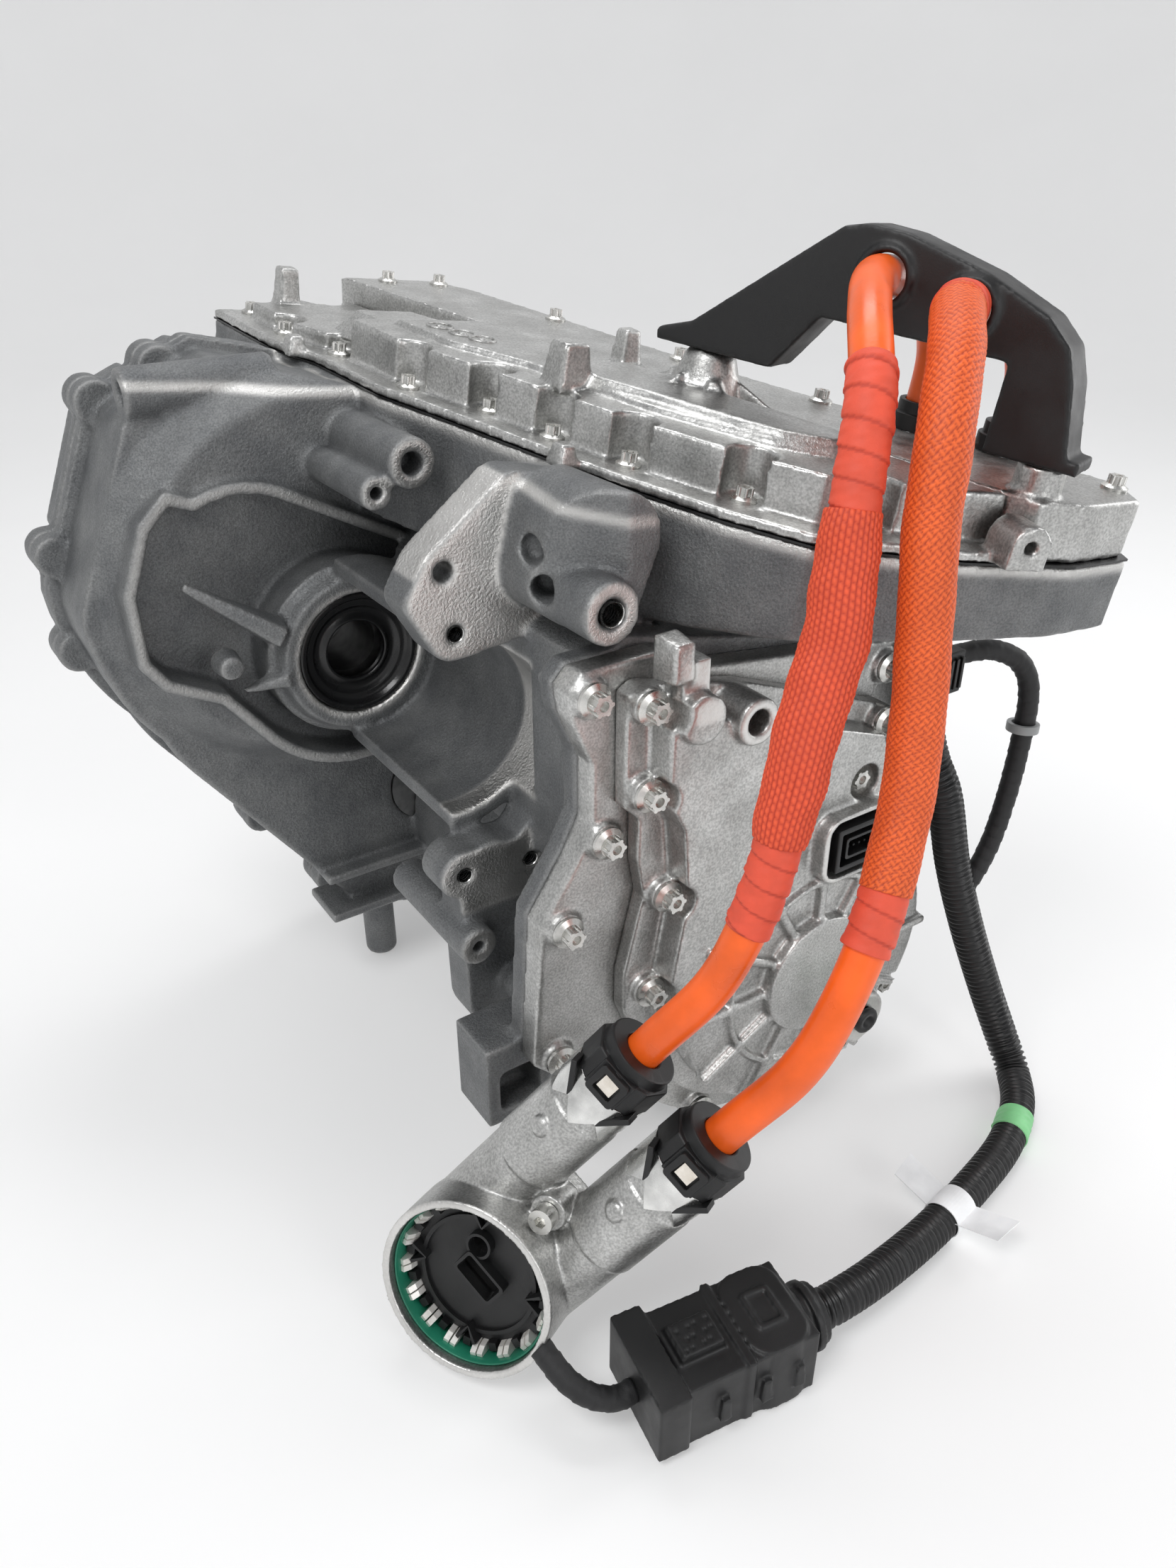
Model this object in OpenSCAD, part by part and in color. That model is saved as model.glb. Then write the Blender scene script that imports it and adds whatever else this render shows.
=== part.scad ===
// Electric drive unit: motor, two-stage reduction gearbox and inverter on one housing.
// Millimetres. The origin is the mouth of the output bore. +Y runs along the motor axis
// towards the gearbox, +X to the right seen from the motor end, +Z is up.

/* [Motor] */
// Motor axis to the right of the output axis
motor_x = 150; // [146:1:156]
// Motor axis height from the output axis
motor_z = -142; // [-146:1:-138]
// Outer radius of the stator core
stator_r = 96; // [90:1:98]
// Length of the stator core
stator_len = 140; // [110:1:145]
// Outer radius of the rotor core
rotor_r = 64; // [54:1:68]
// Gap between rotor and stator
air_gap = 0.8; // [0.5:0.1:1.5]
// Wall of the motor barrel
barrel_wall = 14; // [11:1:15]
// Barrel length between the gearbox wall and the end shield
barrel_len = 220; // [210:1:230]
// Radius of the rotor shaft in the core
shaft_r = 22; // [19:1:26]
// Radius of the rotor shaft in the gearbox
pinion_shaft_r = 15; // [12:0.5:17]
// Radius of the rotor shaft in the front bearing
front_shaft_r = 12; // [10:0.5:14]
// Radius of the slip rings
slip_r = 18; // [15:1:22]

/* [Gearbox] */
// Tooth module of the first stage
module_1 = 2.5; // [2.4:0.05:2.6]
// Tooth module of the second stage
module_2 = 3.25; // [3.1:0.05:3.4]
// Teeth of both pinions
pinion_teeth = 20; // [19:1:21]
// Teeth of both wheels
wheel_teeth = 60; // [59:1:61]
// Face width of the first stage
gear_w1 = 24; // [18:1:26]
// Face width of the second stage
gear_w2 = 28; // [22:1:32]
// Tooth backlash along the pitch circle
backlash = 0.35; // [0.25:0.05:0.6]
// Thickness of the gearbox front wall
wall_t = 20; // [18:1:24]
// Thickness of the gearbox rear wall
back_t = 14; // [13:1:18]
// Wall around the gears
case_wall = 9; // [7:1:11]
// Radius of the layshaft between its gears
lay_r = 17; // [14:0.5:20]
// Radius of the bell that holds the upper gearbox flange
bell_r = 130; // [126:1:136]

/* [Output] */
// Radius of the output seal
seal_r = 36.5; // [34:0.5:40]
// Length of the output seal
seal_len = 10; // [8:1:11]
// Radius of the side shaft bore in the seal lip
output_r = 17.6; // [15:0.1:19]
// Radius of the differential trunnion
trunnion_r = 25; // [23:0.5:27]
// Radius of the tunnel for the side shaft
tunnel_r = 48; // [46:1:52]
// Distance of the saddle face in front of the output bore
saddle_y = 140; // [132:1:150]
// Radius of the saddle's tapped holes
saddle_hole_r = 4.25; // [3.4:0.05:5.1]
// Radius of the thick mounting thread
mount_hole_r = 6; // [5.1:0.1:7]

/* [End shield and cover] */
// Thickness of the end shield
shield_t = 14; // [13:1:18]
// Depth of the end cover rim
rim_t = 10; // [8:1:12]
// Depth of the end cover
cover_depth = 35; // [33:1:42]
// Wall of the end cover
cover_wall = 6; // [4:0.5:8]
// Thread diameter of the large flange bolts
bolt_d = 8; // [7:0.5:9]

/* [Inverter] */
// Inverter reference point to the right of the output axis
inv_x = 60; // [56:1:64]
// Inverter flange height above the output axis
inv_z = 145; // [142:1:152]
// Fall of the inverter towards the motor end
inv_pitch = 5; // [4:0.25:6]
// Fall of the inverter to the right
inv_roll = 6; // [5:0.25:7]
// Thickness of the inverter cover flange
flange_t = 5; // [4:0.5:7]
// Height of the inverter cover above its flange
cover_h = 22; // [19:1:25]
// Wall of the inverter cover
inv_wall = 4; // [3:0.5:5]
// Depth of the inverter tray
tray_depth = 64; // [58:1:68]
// Wall of the inverter tray
tray_wall = 12; // [10:1:14]
// Thickness of the gasket
gasket_t = 1; // [0.6:0.1:2]
// Thread diameter of the small flange bolts
small_bolt_d = 6; // [5:0.5:7]
// Gap of the seam between cover and lid
seam_gap = 2; // [1:0.5:4]

/* [Cable bracket] */
// Thickness of the bracket's walls
bracket_t = 3; // [2:0.5:4]
// Depth of the bracket's rim
bracket_depth = 25; // [20:1:30]
// Height of the bracket's left foot above the inverter flange
foot_h = 46; // [42:1:48]
// Radius of the cable holes in the bracket
cable_hole_r = 10; // [9.6:0.1:11]

/* [Cables and connector] */
// Diameter of the high-voltage cables
cable_d = 18; // [16:0.5:18.5]
// Outer radius of the connector socket
socket_r = 45; // [42:1:46]
// Depth of the connector socket
socket_depth = 24; // [18:1:28]
// Distance between the two connector pipes
pipe_pitch = 50; // [46:1:54]
// Radius of the connector pipes
pipe_r = 19; // [16:0.5:21]
// Length of the connector pipes from the socket axis
pipe_len = 118; // [110:1:122]
// Diameter of the corrugated harness tube
harness_d = 20; // [16:0.5:20]
// Diameter of the harness branches
branch_d = 12; // [9:0.5:12]
// Travel of the plug's lock slide
lock_travel = 8; // [5:0.5:9]

/* [Hidden] */
$fn = 64;
fit = 0.05;
clear = 0.3;
tuck = 0.06;
floor_z = -258;

out_c = [0, 0];
motor_c = [motor_x, motor_z];
wall_y1 = 45;
wall_y0 = wall_y1 - wall_t;
shield_y1 = wall_y0 - barrel_len;
shield_y0 = shield_y1 - shield_t;
rim_y0 = shield_y0 - rim_t;
cover_y0 = shield_y0 - cover_depth;
barrel_r = stator_r + barrel_wall;
stator_y0 = shield_y1 + 30;
stator_y1 = stator_y0 + stator_len;

// Gear places: the layshaft sits below the line between motor and output
dist_1 = module_1 * (pinion_teeth + wheel_teeth) / 2;
dist_2 = module_2 * (pinion_teeth + wheel_teeth) / 2;
out_motor = norm(motor_c);
along = (dist_2 * dist_2 - dist_1 * dist_1 + out_motor * out_motor) / (2 * out_motor);
aside = sqrt(dist_2 * dist_2 - along * along);
unit = motor_c / out_motor;
lay_c = along * unit + aside * [unit[1], -unit[0]];
mesh_1 = atan2(lay_c[1] - motor_c[1], lay_c[0] - motor_c[0]);
mesh_2 = atan2(-lay_c[1], -lay_c[0]);
gear_y1 = wall_y1 + 7;
gear_y2 = gear_y1 + gear_w1 + 8;
box_y1 = gear_y2 + gear_w2 + 14;
back_y1 = box_y1 + back_t;
joint_y = gear_y2 + 11;
ring_bore_r = 60;
bearing_w = 12;
rear_bearing_r = pinion_shaft_r + 16;
front_bearing_r = front_shaft_r + 14;
lay_end_r = lay_r - 5;
lay_bearing_r = lay_end_r + 15;
diff_bearing_r = trunnion_r + 14;
diff_y0 = 20;
case_y0 = gear_y1 + 6;
case_y1 = gear_y2 + gear_w2 + 4;
diff_y1 = box_y1 + 8;
case_r = 45;
bell_c = [-10, 42];
// Straight edges of the gearbox flange, seen from the middle of the bell
bell_pts = [for (p = [[-94, 100], [-135, 2], [-137, -12], [-124, -56], [-112, -80], [-30, -152], [140, -142],
                      [140, 18], [70, 98], [-5, 118], [-35, 125]]) bell_c + p * bell_r / 130];
flange_lip = 6;
lay_case_r = module_1 * (wheel_teeth + 2) / 2 + 6 + case_wall;
out_case_r = module_2 * (wheel_teeth + 2) / 2 + 8 + case_wall;
motor_case_r = module_1 * (pinion_teeth + 2) / 2 + 14 + case_wall;

// Inverter outlines, in the inverter's own tilted frame with its flange face at height 0
tray_pts = [[-62, 178], [-56, 94], [-44, 62], [-37, -6], [-22, -53], [-6, -109], [8, -159], [30, -215],
            [50, -250], [110, -284], [165, -302], [205, -302], [222, -275], [190, -190], [150, -60],
            [105, 150], [88, 178]];
seam_top = [29, 137];
seam_run = [85, -329];
cover_bolt_at = [[-42, 166], [-42, 112], [-30, 61], [-22, -10], [1, -57], [9, -105], [23, -150], [48, -205],
                 [80, -250], [4, 164]];
lid_screw_at = [[83, 160], [112, 60], [134, -40], [160, -130], [184, -205], [206, -282], [48, 164]];
lobe_r = small_bolt_d * 1.75;
plateau_in = 14;
tray_top = -flange_t - gasket_t;
tray_bottom = tray_top - tray_depth;
tray_floor = tray_bottom + 12;
rise_y = -150;
rise = 0.2;
function floor_at(y) = tray_floor + max(0, rise_y - y) * rise;
board_h = tray_floor + 44;
board_t = 1.6;
board_posts = [[-14, 8], [104, 8], [20, -100], [132, -150], [126, -262]];
board_end_y = 14;

// Bracket: an arch along the line between its two feet, seen as (run, height)
bracket_at = [89, -118];
bracket_yaw = -68.8;
foot_run = 172;
right_foot_h = foot_h - 11;
shelf_h = foot_h + 27;
bracket_pts = [[-26, foot_h], [38, foot_h], [58, shelf_h], [147, shelf_h], [147, right_foot_h],
               [189, right_foot_h], [189, right_foot_h + 6], [183, right_foot_h + 6], [176, foot_h + 24],
               [170, foot_h + 38], [158, foot_h + 48], [129, foot_h + 59], [90, foot_h + 68],
               [72, foot_h + 69], [60, foot_h + 66], [46, foot_h + 55], [-8, foot_h + 12], [-26, foot_h + 6]];
cable_holes = [[84, foot_h + 49], [124, foot_h + 44]];
gland_at = [[180, -181], [197, -223]];
gland_r = 14;

// Bolt places around the end shield and the end cover
rim_bolt_out = 0.6;
rim_bolts = [for (a = [240.2, 299.8, 25.2]) motor_c + (barrel_r + rim_bolt_out) * [cos(a), sin(a)]];
shield_bolts = concat([[19, 50], [27, -27], [4, -70], [-1, -150]], rim_bolts, [[208, 18]]);
cover_bolts_xz = [[42, 45], [42, 0], [55, -62], [46, -118], [118, -10], [176, -31], [197, -6], [228, -100],
                  [222, -190], [150, -230]];
shield_pts = [[motor_x, motor_z], [2, -166], [-14, -152], [-8, -66], [12, -36], [21, -18], [21, 15],
              [10, 40], [8, 54], [16, 62], [62, 62], [84, 48], [218, 30], [240, 30], [246, -60]];
cover_pts = [[motor_x, motor_z], [52, -178], [34, -130], [34, -108], [45, -62], [41, -40], [41, -16],
             [33, -8], [33, 50], [40, 54], [100, 40], [204, 0], [238, -60]];
cover_body_pts = [[motor_x, motor_z], [62, -165], [50, -120], [60, -62], [56, -20], [46, 0], [46, 40],
                  [96, 28], [196, -10], [226, -60]];
neck_pts = [[motor_x, motor_z], [30, -70], [30, 56], [50, 66], [210, 30], [240, -70]];
seat_y = shield_y0 - 4;
cover_seat_y = rim_y0 - 6;
brush_y0 = cover_y0 + 8 + cover_wall;

// Square end of the tub around the output seal
tub_pts = [[-92, 107], [-108, 92], [-122, 56], [-121, 16], [-110, 0], [-59, -27], [0, -62], [0, 70]];

// Threaded bosses on the housing, as [x, z, face y, radius, hole radius]
front_bosses = [[-12, -112, -152, 11, 3.4], [14, -150, -176, 10, 3.4], [28, -118, -158, 9, 2.5],
                [13, 121, -62, 13, 6], [-6, 108, -58, 9, 3.4]];
plate_hole = [-13, 93];
// Duct for the phase bars between inverter, neck and barrel
duct_x = 74;
saddle_holes = [[-9, 62], [-12, -73], [28, -77]];
mount_boss = [34, 84];
mount_face_y = -206;
// Cored holes in the pillar's slanted side
pillar_holes = [[16, -166, 103], [20.5, -170.5, 87.3]];
pillar_cut = [18, -168, 50];

flank_a = atan2(motor_c[1], motor_c[0]) + acos((out_case_r - motor_case_r) / out_motor);
breather_r = 11;
flank_z = (out_case_r - (motor_x - breather_r) * cos(flank_a)) / sin(flank_a);
breather_at = [motor_x, joint_y - 30, flank_z + 2];

// Boss for the upper mounting arm
tube_at = [-98, 40, 150];
tube_r = 13;
tube_hole_r = 6;

// Gearbox flange bolts stand this far outside the case
lug_out = bolt_d * 1.15;
flange_bolt_at = concat(
    [for (b = [[116, -7], [133, 2], [172, -2], [197, 2]]) bell_c + (bell_r + b[1]) * [cos(b[0]), sin(b[0])]],
    [for (a = [190, 235, 280]) lay_c + (lay_case_r + lug_out) * [cos(a), sin(a)]],
    [for (a = [300, 350, 40]) motor_c + (motor_case_r + lug_out) * [cos(a), sin(a)]]);

// Connector: x along the pipes, z out of the socket
socket_at = [-73, -256, -212];
socket_fall = 72.5;
socket_yaw = -148.3;
socket_turn = 145;
pipe_z = -12;
cap_len = 22;
screw_at = [52, 0];

// Plug on the floor
plug_at = [6, -343, floor_z];
plug_yaw = 171;
plug_len = 104;
plug_w = 44;
plug_h = 40;

// Points of the tilted inverter, the bracket's cable holes and the connector's pipes
function turn_x(v, a) = [v[0], v[1] * cos(a) - v[2] * sin(a), v[1] * sin(a) + v[2] * cos(a)];
function turn_y(v, a) = [v[0] * cos(a) + v[2] * sin(a), v[1], v[2] * cos(a) - v[0] * sin(a)];
function turn_z(v, a) = [v[0] * cos(a) - v[1] * sin(a), v[0] * sin(a) + v[1] * cos(a), v[2]];
function inv_pt(p) = [inv_x, 0, inv_z] + turn_y(turn_x(p, inv_pitch), inv_roll);
function hole_pt(i, out) = let (c = cable_holes[i])
    inv_pt([bracket_at[0], bracket_at[1], 0] + turn_z([c[0], -out, c[1]], bracket_yaw));
function gland_pt(i, h) = inv_pt([gland_at[i][0], gland_at[i][1], h]);
function pipe_pt(side, run) = socket_at
    + turn_z(turn_y(turn_z([run, side * pipe_pitch / 2, pipe_z], socket_turn), socket_fall), socket_yaw);
function plug_pt(run, h) = plug_at + turn_z([run, 0, h], plug_yaw);
plug_front = plug_len / 2 - 4;
plug_back = 3 - plug_len / 2;
cable_in = pipe_len - 40;
cable_out = pipe_len + cap_len + 6;

// Cord routes in the part's own frame
left_route = [hole_pt(0, clear), hole_pt(0, 24), [137, -238, 204], [110, -269, 180], [96, -281, 146],
              [89, -286, 119], [82, -291, 90], [68, -296, 60], [56, -301, 32], [46, -304, 2], [36, -303, -26],
              [24, -297, -56], pipe_pt(1, cable_out), pipe_pt(1, cable_in)];
right_route = [hole_pt(1, clear), hole_pt(1, 24), [150, -274, 193], [128, -293, 168], [118, -301, 132],
               [114, -309, 90], [107, -318, 50], [94, -328, 16], [76, -337, -18], [56, -341, -52],
               [40, -337, -82], pipe_pt(-1, cable_out), pipe_pt(-1, cable_in)];
stub_left = [gland_pt(0, cover_h + clear), gland_pt(0, cover_h + 30), [240, -186, 178], [230, -190, 195],
             [215, -194, 204], hole_pt(0, -14), hole_pt(0, 0)];
stub_right = [gland_pt(1, cover_h + clear), gland_pt(1, cover_h + 30), [256, -228, 171], [245, -231, 186],
              [230, -233, 195], hole_pt(1, -14), hole_pt(1, 0)];
harness_route = [[230, -223, 3.7], [230, -223, -12], [233, -230, -36], [240, -238, -60], [250, -244, -105], [264, -251, -150],
                 [278, -262, -195], [285, -276, -228], [282, -292, -246], [262, -312, -248], [230, -328, -248],
                 [190, -338, -248], [145, -346, -247], [100, -352, -241], plug_pt(plug_back - 15, 20), plug_pt(plug_back, 20)];
branch_route = [[241.3, -222, 18], [252, -222, 18], [270, -230, 19], [286, -238, 10], [292, -243, -10], [288, -246, -50],
                [280, -248, -85], [271, -249, -106], [260, -249, -122]];
pigtail_route = [plug_pt(plug_front, 22), plug_pt(plug_front + 10, 22), [-62, -328, -231], [-68, -318, -226],
                 [-71, -303, -220]];

// Shapes drawn in the XZ plane, between two places along Y
module xz(y0, y1) {
    translate([0, y1, 0]) rotate([90, 0, 0]) linear_extrude(y1 - y0) children();
}

module disc(c, r, y0, y1) {
    xz(y0, y1) translate(c) circle(r);
}

module ring(c, r0, r1, y0, y1) {
    xz(y0, y1) translate(c) difference() {
        circle(r1);
        circle(r0);
    }
}

module taper(c, r0, r1, y0, y1) {
    translate([c[0], y1, c[1]]) rotate([90, 0, 0]) cylinder(h = y1 - y0, r1 = r1, r2 = r0);
}

// Outline around two circles, with flanks just inside their outer tangents
module link(c1, r1, c2, r2) {
    run = c2 - c1;
    a = atan2(run[1], run[0]);
    b = acos((r1 - r2) / norm(run));
    left = [cos(a + b), sin(a + b)];
    right = [cos(a - b), sin(a - b)];
    translate(c1) circle(r1);
    translate(c2) circle(r2);
    q1 = r1 - tuck;
    q2 = r2 - tuck;
    polygon([c1 + q1 * left, c2 + q2 * left, c2 + q2 * right, c1 + q1 * right]);
}

function unit_of(v) = v / norm(v);
function inward(a, b) = let (d = unit_of(b - a)) [-d[1], d[0]];
function inset(p, d) = let (n = len(p)) [for (i = [0:n - 1])
    let (n1 = inward(p[(i + n - 1) % n], p[i]), n2 = inward(p[i], p[(i + 1) % n]))
    p[i] + d * (n1 + n2) / (1 + n1 * n2)];

// Involute spur gear, a tooth along the angle it is turned to
function involute(r, rb) = r <= rb ? 0 : let (t = sqrt(r * r / (rb * rb) - 1)) t * 180 / PI - atan(t);
function polar(r, a) = [r * cos(a), r * sin(a)];
function tooth(z, m, i) = let (
    rp = m * z / 2,
    rb = rp * cos(20),
    ra = rp + 0.95 * m,
    rf = rp - 1.2 * m,
    half = 90 / z - backlash / rp * 45 / PI + involute(rp, rb),
    steps = 5,
    low = max(rb, rf),
    radii = [for (k = [0:steps]) low + (ra - low) * k / steps],
    a = i * 360 / z)
    concat([polar(rf, a - half)],
           [for (k = [0:steps]) polar(radii[k], a - half + involute(radii[k], rb))],
           [for (k = [steps:-1:0]) polar(radii[k], a + half - involute(radii[k], rb))],
           [polar(rf, a + half)]);

module gear(c, z, m, turn, bore, y0, y1) {
    xz(y0, y1) translate(c) difference() {
        rotate(turn) polygon([for (i = [0:z - 1]) each tooth(z, m, i)]);
        circle(bore);
    }
}

// Flange bolt with a six-lobed head, its seat at height 0 and its shank below
module lobed_bolt(d, length) {
    cylinder(r = d * 1.05, h = d * 0.2);
    translate([0, 0, d * 0.2]) cylinder(r1 = d * 1.05, r2 = d * 0.72, h = d * 0.2);
    difference() {
        linear_extrude(d * 1.05) union() {
            circle(d * 0.56);
            for (a = [0:60:300]) rotate(a) translate([d * 0.56, 0]) circle(d * 0.14);
        }
        translate([0, 0, d * 0.75]) cylinder(r = d * 0.32, h = d);
    }
    translate([0, 0, -length]) cylinder(r = d / 2 - clear, h = length);
}

// Bolt whose head faces the motor end
module front_bolt(c, y, d, length) {
    translate([c[0], y, c[1]]) rotate([90, 0, 0]) lobed_bolt(d, length);
}

// Bolt whose head faces the gearbox end
module rear_bolt(c, y, d, length) {
    translate([c[0], y, c[1]]) rotate([-90, 0, 0]) lobed_bolt(d, length);
}

// Tube swept along a route, twelve sides
function route_dir(p, i) = unit_of(p[min(i + 1, len(p) - 1)] - p[max(i - 1, 0)]);
function side_of(t) = unit_of(cross(t, abs(t[2]) > 0.9 ? [0, 1, 0] : [0, 0, 1]));
function carried(s, t) = unit_of(s - (s * t) * t);
function sides_along(p, i, s) = i >= len(p) ? [] :
    let (c = carried(s, route_dir(p, i))) concat([c], sides_along(p, i + 1, c));

module swept(p, d) {
    n = 12;
    rows = len(p);
    start = side_of(route_dir(p, 0));
    sides = sides_along(p, 0, start);
    pts = [for (i = [0:rows - 1])
        let (t = route_dir(p, i), s = sides[i], u = cross(t, s))
        for (k = [0:n - 1]) p[i] + d / 2 * (cos(k * 360 / n) * s + sin(k * 360 / n) * u)];
    walls = [for (i = [0:rows - 2], k = [0:n - 1])
        [i * n + k, (i + 1) * n + k, (i + 1) * n + (k + 1) % n, i * n + (k + 1) % n]];
    polyhedron(pts, concat([[for (k = [0:n - 1]) k]], walls, [[for (k = [n - 1:-1:0]) (rows - 1) * n + k]]));
}

// Inverter frame and outlines
module inv() {
    translate([inv_x, 0, inv_z]) rotate([inv_pitch, inv_roll, 0]) children();
}

function seam_x(y) = seam_top[0] + seam_run[0] * (y - seam_top[1]) / seam_run[1];

module left_of_seam(gap) {
    polygon([[-300, 400], [-300, -400], [seam_x(-400) - gap, -400], [seam_x(400) - gap, 400]]);
}

module right_of_seam(gap) {
    polygon([[seam_x(400) + gap, 400], [seam_x(-400) + gap, -400], [400, -400], [400, 400]]);
}

module tray_plan(margin = 0) {
    polygon(inset(tray_pts, -margin));
    for (c = cover_bolt_at) translate(c) circle(lobe_r + margin);
}

module tray_hollow(d) {
    difference() {
        polygon(inset(tray_pts, d));
        for (c = cover_bolt_at) translate(c) circle(lobe_r);
        for (c = lid_screw_at) translate(c) circle(lobe_r * 0.8);
    }
}

module screw_holes(r, z0, z1) {
    for (c = concat(cover_bolt_at, lid_screw_at)) translate([c[0], c[1], z0]) cylinder(r = r, h = z1 - z0);
}

// Gearbox outlines
module gear_core(d) {
    link(out_c, out_case_r - d, lay_c, lay_case_r - d);
    link(lay_c, lay_case_r - d, motor_c, motor_case_r - d);
    link(out_c, out_case_r - d, motor_c, motor_case_r - d);
}

module gear_case(d) {
    gear_core(d);
    bell_plan(d);
}

module bell_plan(d) {
    intersection() {
        translate(bell_c) circle(bell_r - d);
        polygon(inset(bell_pts, d + flange_lip));
    }
}

// Gears' room inside the case, kept out of the inverter tray
module gear_room(y0, y1) {
    xz(y0, y1) gear_core(case_wall);
    difference() {
        xz(y0, y1) bell_plan(case_wall);
        tray_block(0);
    }
}

// Inverter tray as a block, grown by a margin
module tray_block(margin) {
    inv() translate([0, 0, tray_bottom - margin]) linear_extrude(tray_depth + margin) tray_plan(margin);
}

// Room under the tray, whose underside rises towards its front end
module under_tray(lift) {
    translate([-200, rise_y, tray_bottom + lift]) rotate([-atan(rise), 0, 0])
        translate([0, -300, -100]) cube([600, 300, 100]);
}

// Room above the tray for the gasket, cover and lid
module above_tray() {
    inv() translate([0, 0, tray_top]) linear_extrude(150) tray_plan(3);
}

module flange_lugs(y0, y1) {
    for (c = flange_bolt_at) disc(c, bolt_d * 1.5, y0, y1);
}

module shield_plan() {
    translate(motor_c) circle(barrel_r + 5);
    polygon(shield_pts);
    for (c = shield_bolts) translate(c) circle(bolt_d * 1.15);
}

module cover_plan() {
    translate(motor_c) circle(barrel_r - 12);
    polygon(cover_pts);
    for (c = cover_bolts_xz) translate(c) circle(bolt_d * 1.1);
}

// Main housing: motor barrel, gearbox front half, saddle and inverter tray in one casting
module saddle_plan() {
    difference() {
        union() {
            link([-9, 62], 14, [50, 74], 20);
            link([-9, 62], 14, [-26, 80], 8);
            link([-9, 62], 14, [22, 100], 18);
            link([-12, -73], 14, [28, -77], 16);
            link([28, -77], 16, [62, -50], 24);
            link([50, 74], 20, [86, 10], 24);
            link([86, 10], 24, [62, -50], 24);
            link([-26, 80], 8, [-13, 91], 13);
            link([-13, 91], 13, [26, 118], 15);
            link([26, 118], 15, [60, 112], 15);
            link([4, -78], 20, [8, -160], 22);
            link([8, -160], 22, [64, -180], 30);
            link([28, -100], 24, [64, -180], 30);
        }
        circle(tunnel_r);
    }
}

module tunnel_wall() {
    difference() {
        circle(tunnel_r + 9);
        circle(tunnel_r);
        translate([-100, -100]) square([92, 200]);
    }
}

module tub_plan(d) {
    link([-56, 48], 58 - d, out_c, 74 - d);
    polygon(inset(tub_pts, d));
}

module housing_solid() {
    disc(motor_c, barrel_r, shield_y1, wall_y1);
    xz(shield_y1, wall_y1) polygon(neck_pts);
    xz(shield_y1, shield_y1 + 12) shield_plan();
    xz(-saddle_y, -saddle_y + 24) saddle_plan();
    xz(-saddle_y + 20, wall_y1) tunnel_wall();
    xz(wall_y0 + 8, wall_y1) gear_case(0);
    xz(wall_y1, joint_y) gear_case(0);
    intersection() {
        taper(bell_c, bell_r - 28, bell_r, 14, wall_y1);
        xz(13, wall_y1 + 1) polygon(inset(bell_pts, flange_lip));
    }
    xz(joint_y - 10, joint_y) gear_case(-flange_lip);
    flange_lugs(joint_y - 14, joint_y);
    xz(8, wall_y1) tub_plan(0);
    taper(out_c, seal_r + 9, seal_r + 27, -2, wall_y1);
    difference() {
        tray_block(0);
        xz(joint_y, joint_y + 200) gear_core(-2);
        inv() under_tray(0);
    }
    for (b = front_bosses) disc([b[0], b[1]], b[3], b[2], b[2] + 84);
    disc(mount_boss, mount_hole_r + 9, mount_face_y, mount_face_y + 70);
    pillar();
    mounting_feet();
    gearbox_ribs();
    tube_boss();
    translate(breather_at - [0, 0, 44]) cylinder(r = breather_r, h = 44);
    inv() coolant_frame() translate([0, 0, -16]) cylinder(r = 19, h = 20);
    inv() for (p = [[-58, 64], [-48, 34]])
        translate([p[0], p[1], tray_top - 40]) cube([14, 26, 38]);
}

// Pillar behind the mounting boss, its outer corner cut off
module pillar() {
    difference() {
        xz(mount_face_y + 8, -saddle_y) link([36, 88], 20, [44, 112], 22);
        translate(pillar_cut) rotate([0, 0, 45]) translate([-60, -60, 0]) cube([60, 120, 100]);
    }
}

module mounting_feet() {
    for (y = [shield_y1 + 4, wall_y0 - 34])
        translate([motor_x - 46, y, floor_z]) cube([92, 24, barrel_r * 0.3]);
    translate([lay_c[0] - 36, 58, floor_z]) cylinder(r = 11, h = 90);
    translate([-34, shield_y1, -196]) cube([40, 34, 52]);
}

module gearbox_ribs() {
    for (z = [-196, -166]) translate([-30, 20, z]) cube([70, 40, 6]);
}

// Hollow boss for the upper mounting arm
module tube_boss() {
    translate(tube_at) rotate([0, 90, 0]) cylinder(r = tube_r, h = 80);
    translate(tube_at + [20, -10, -30]) cube([60, 20, 26]);
}

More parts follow.
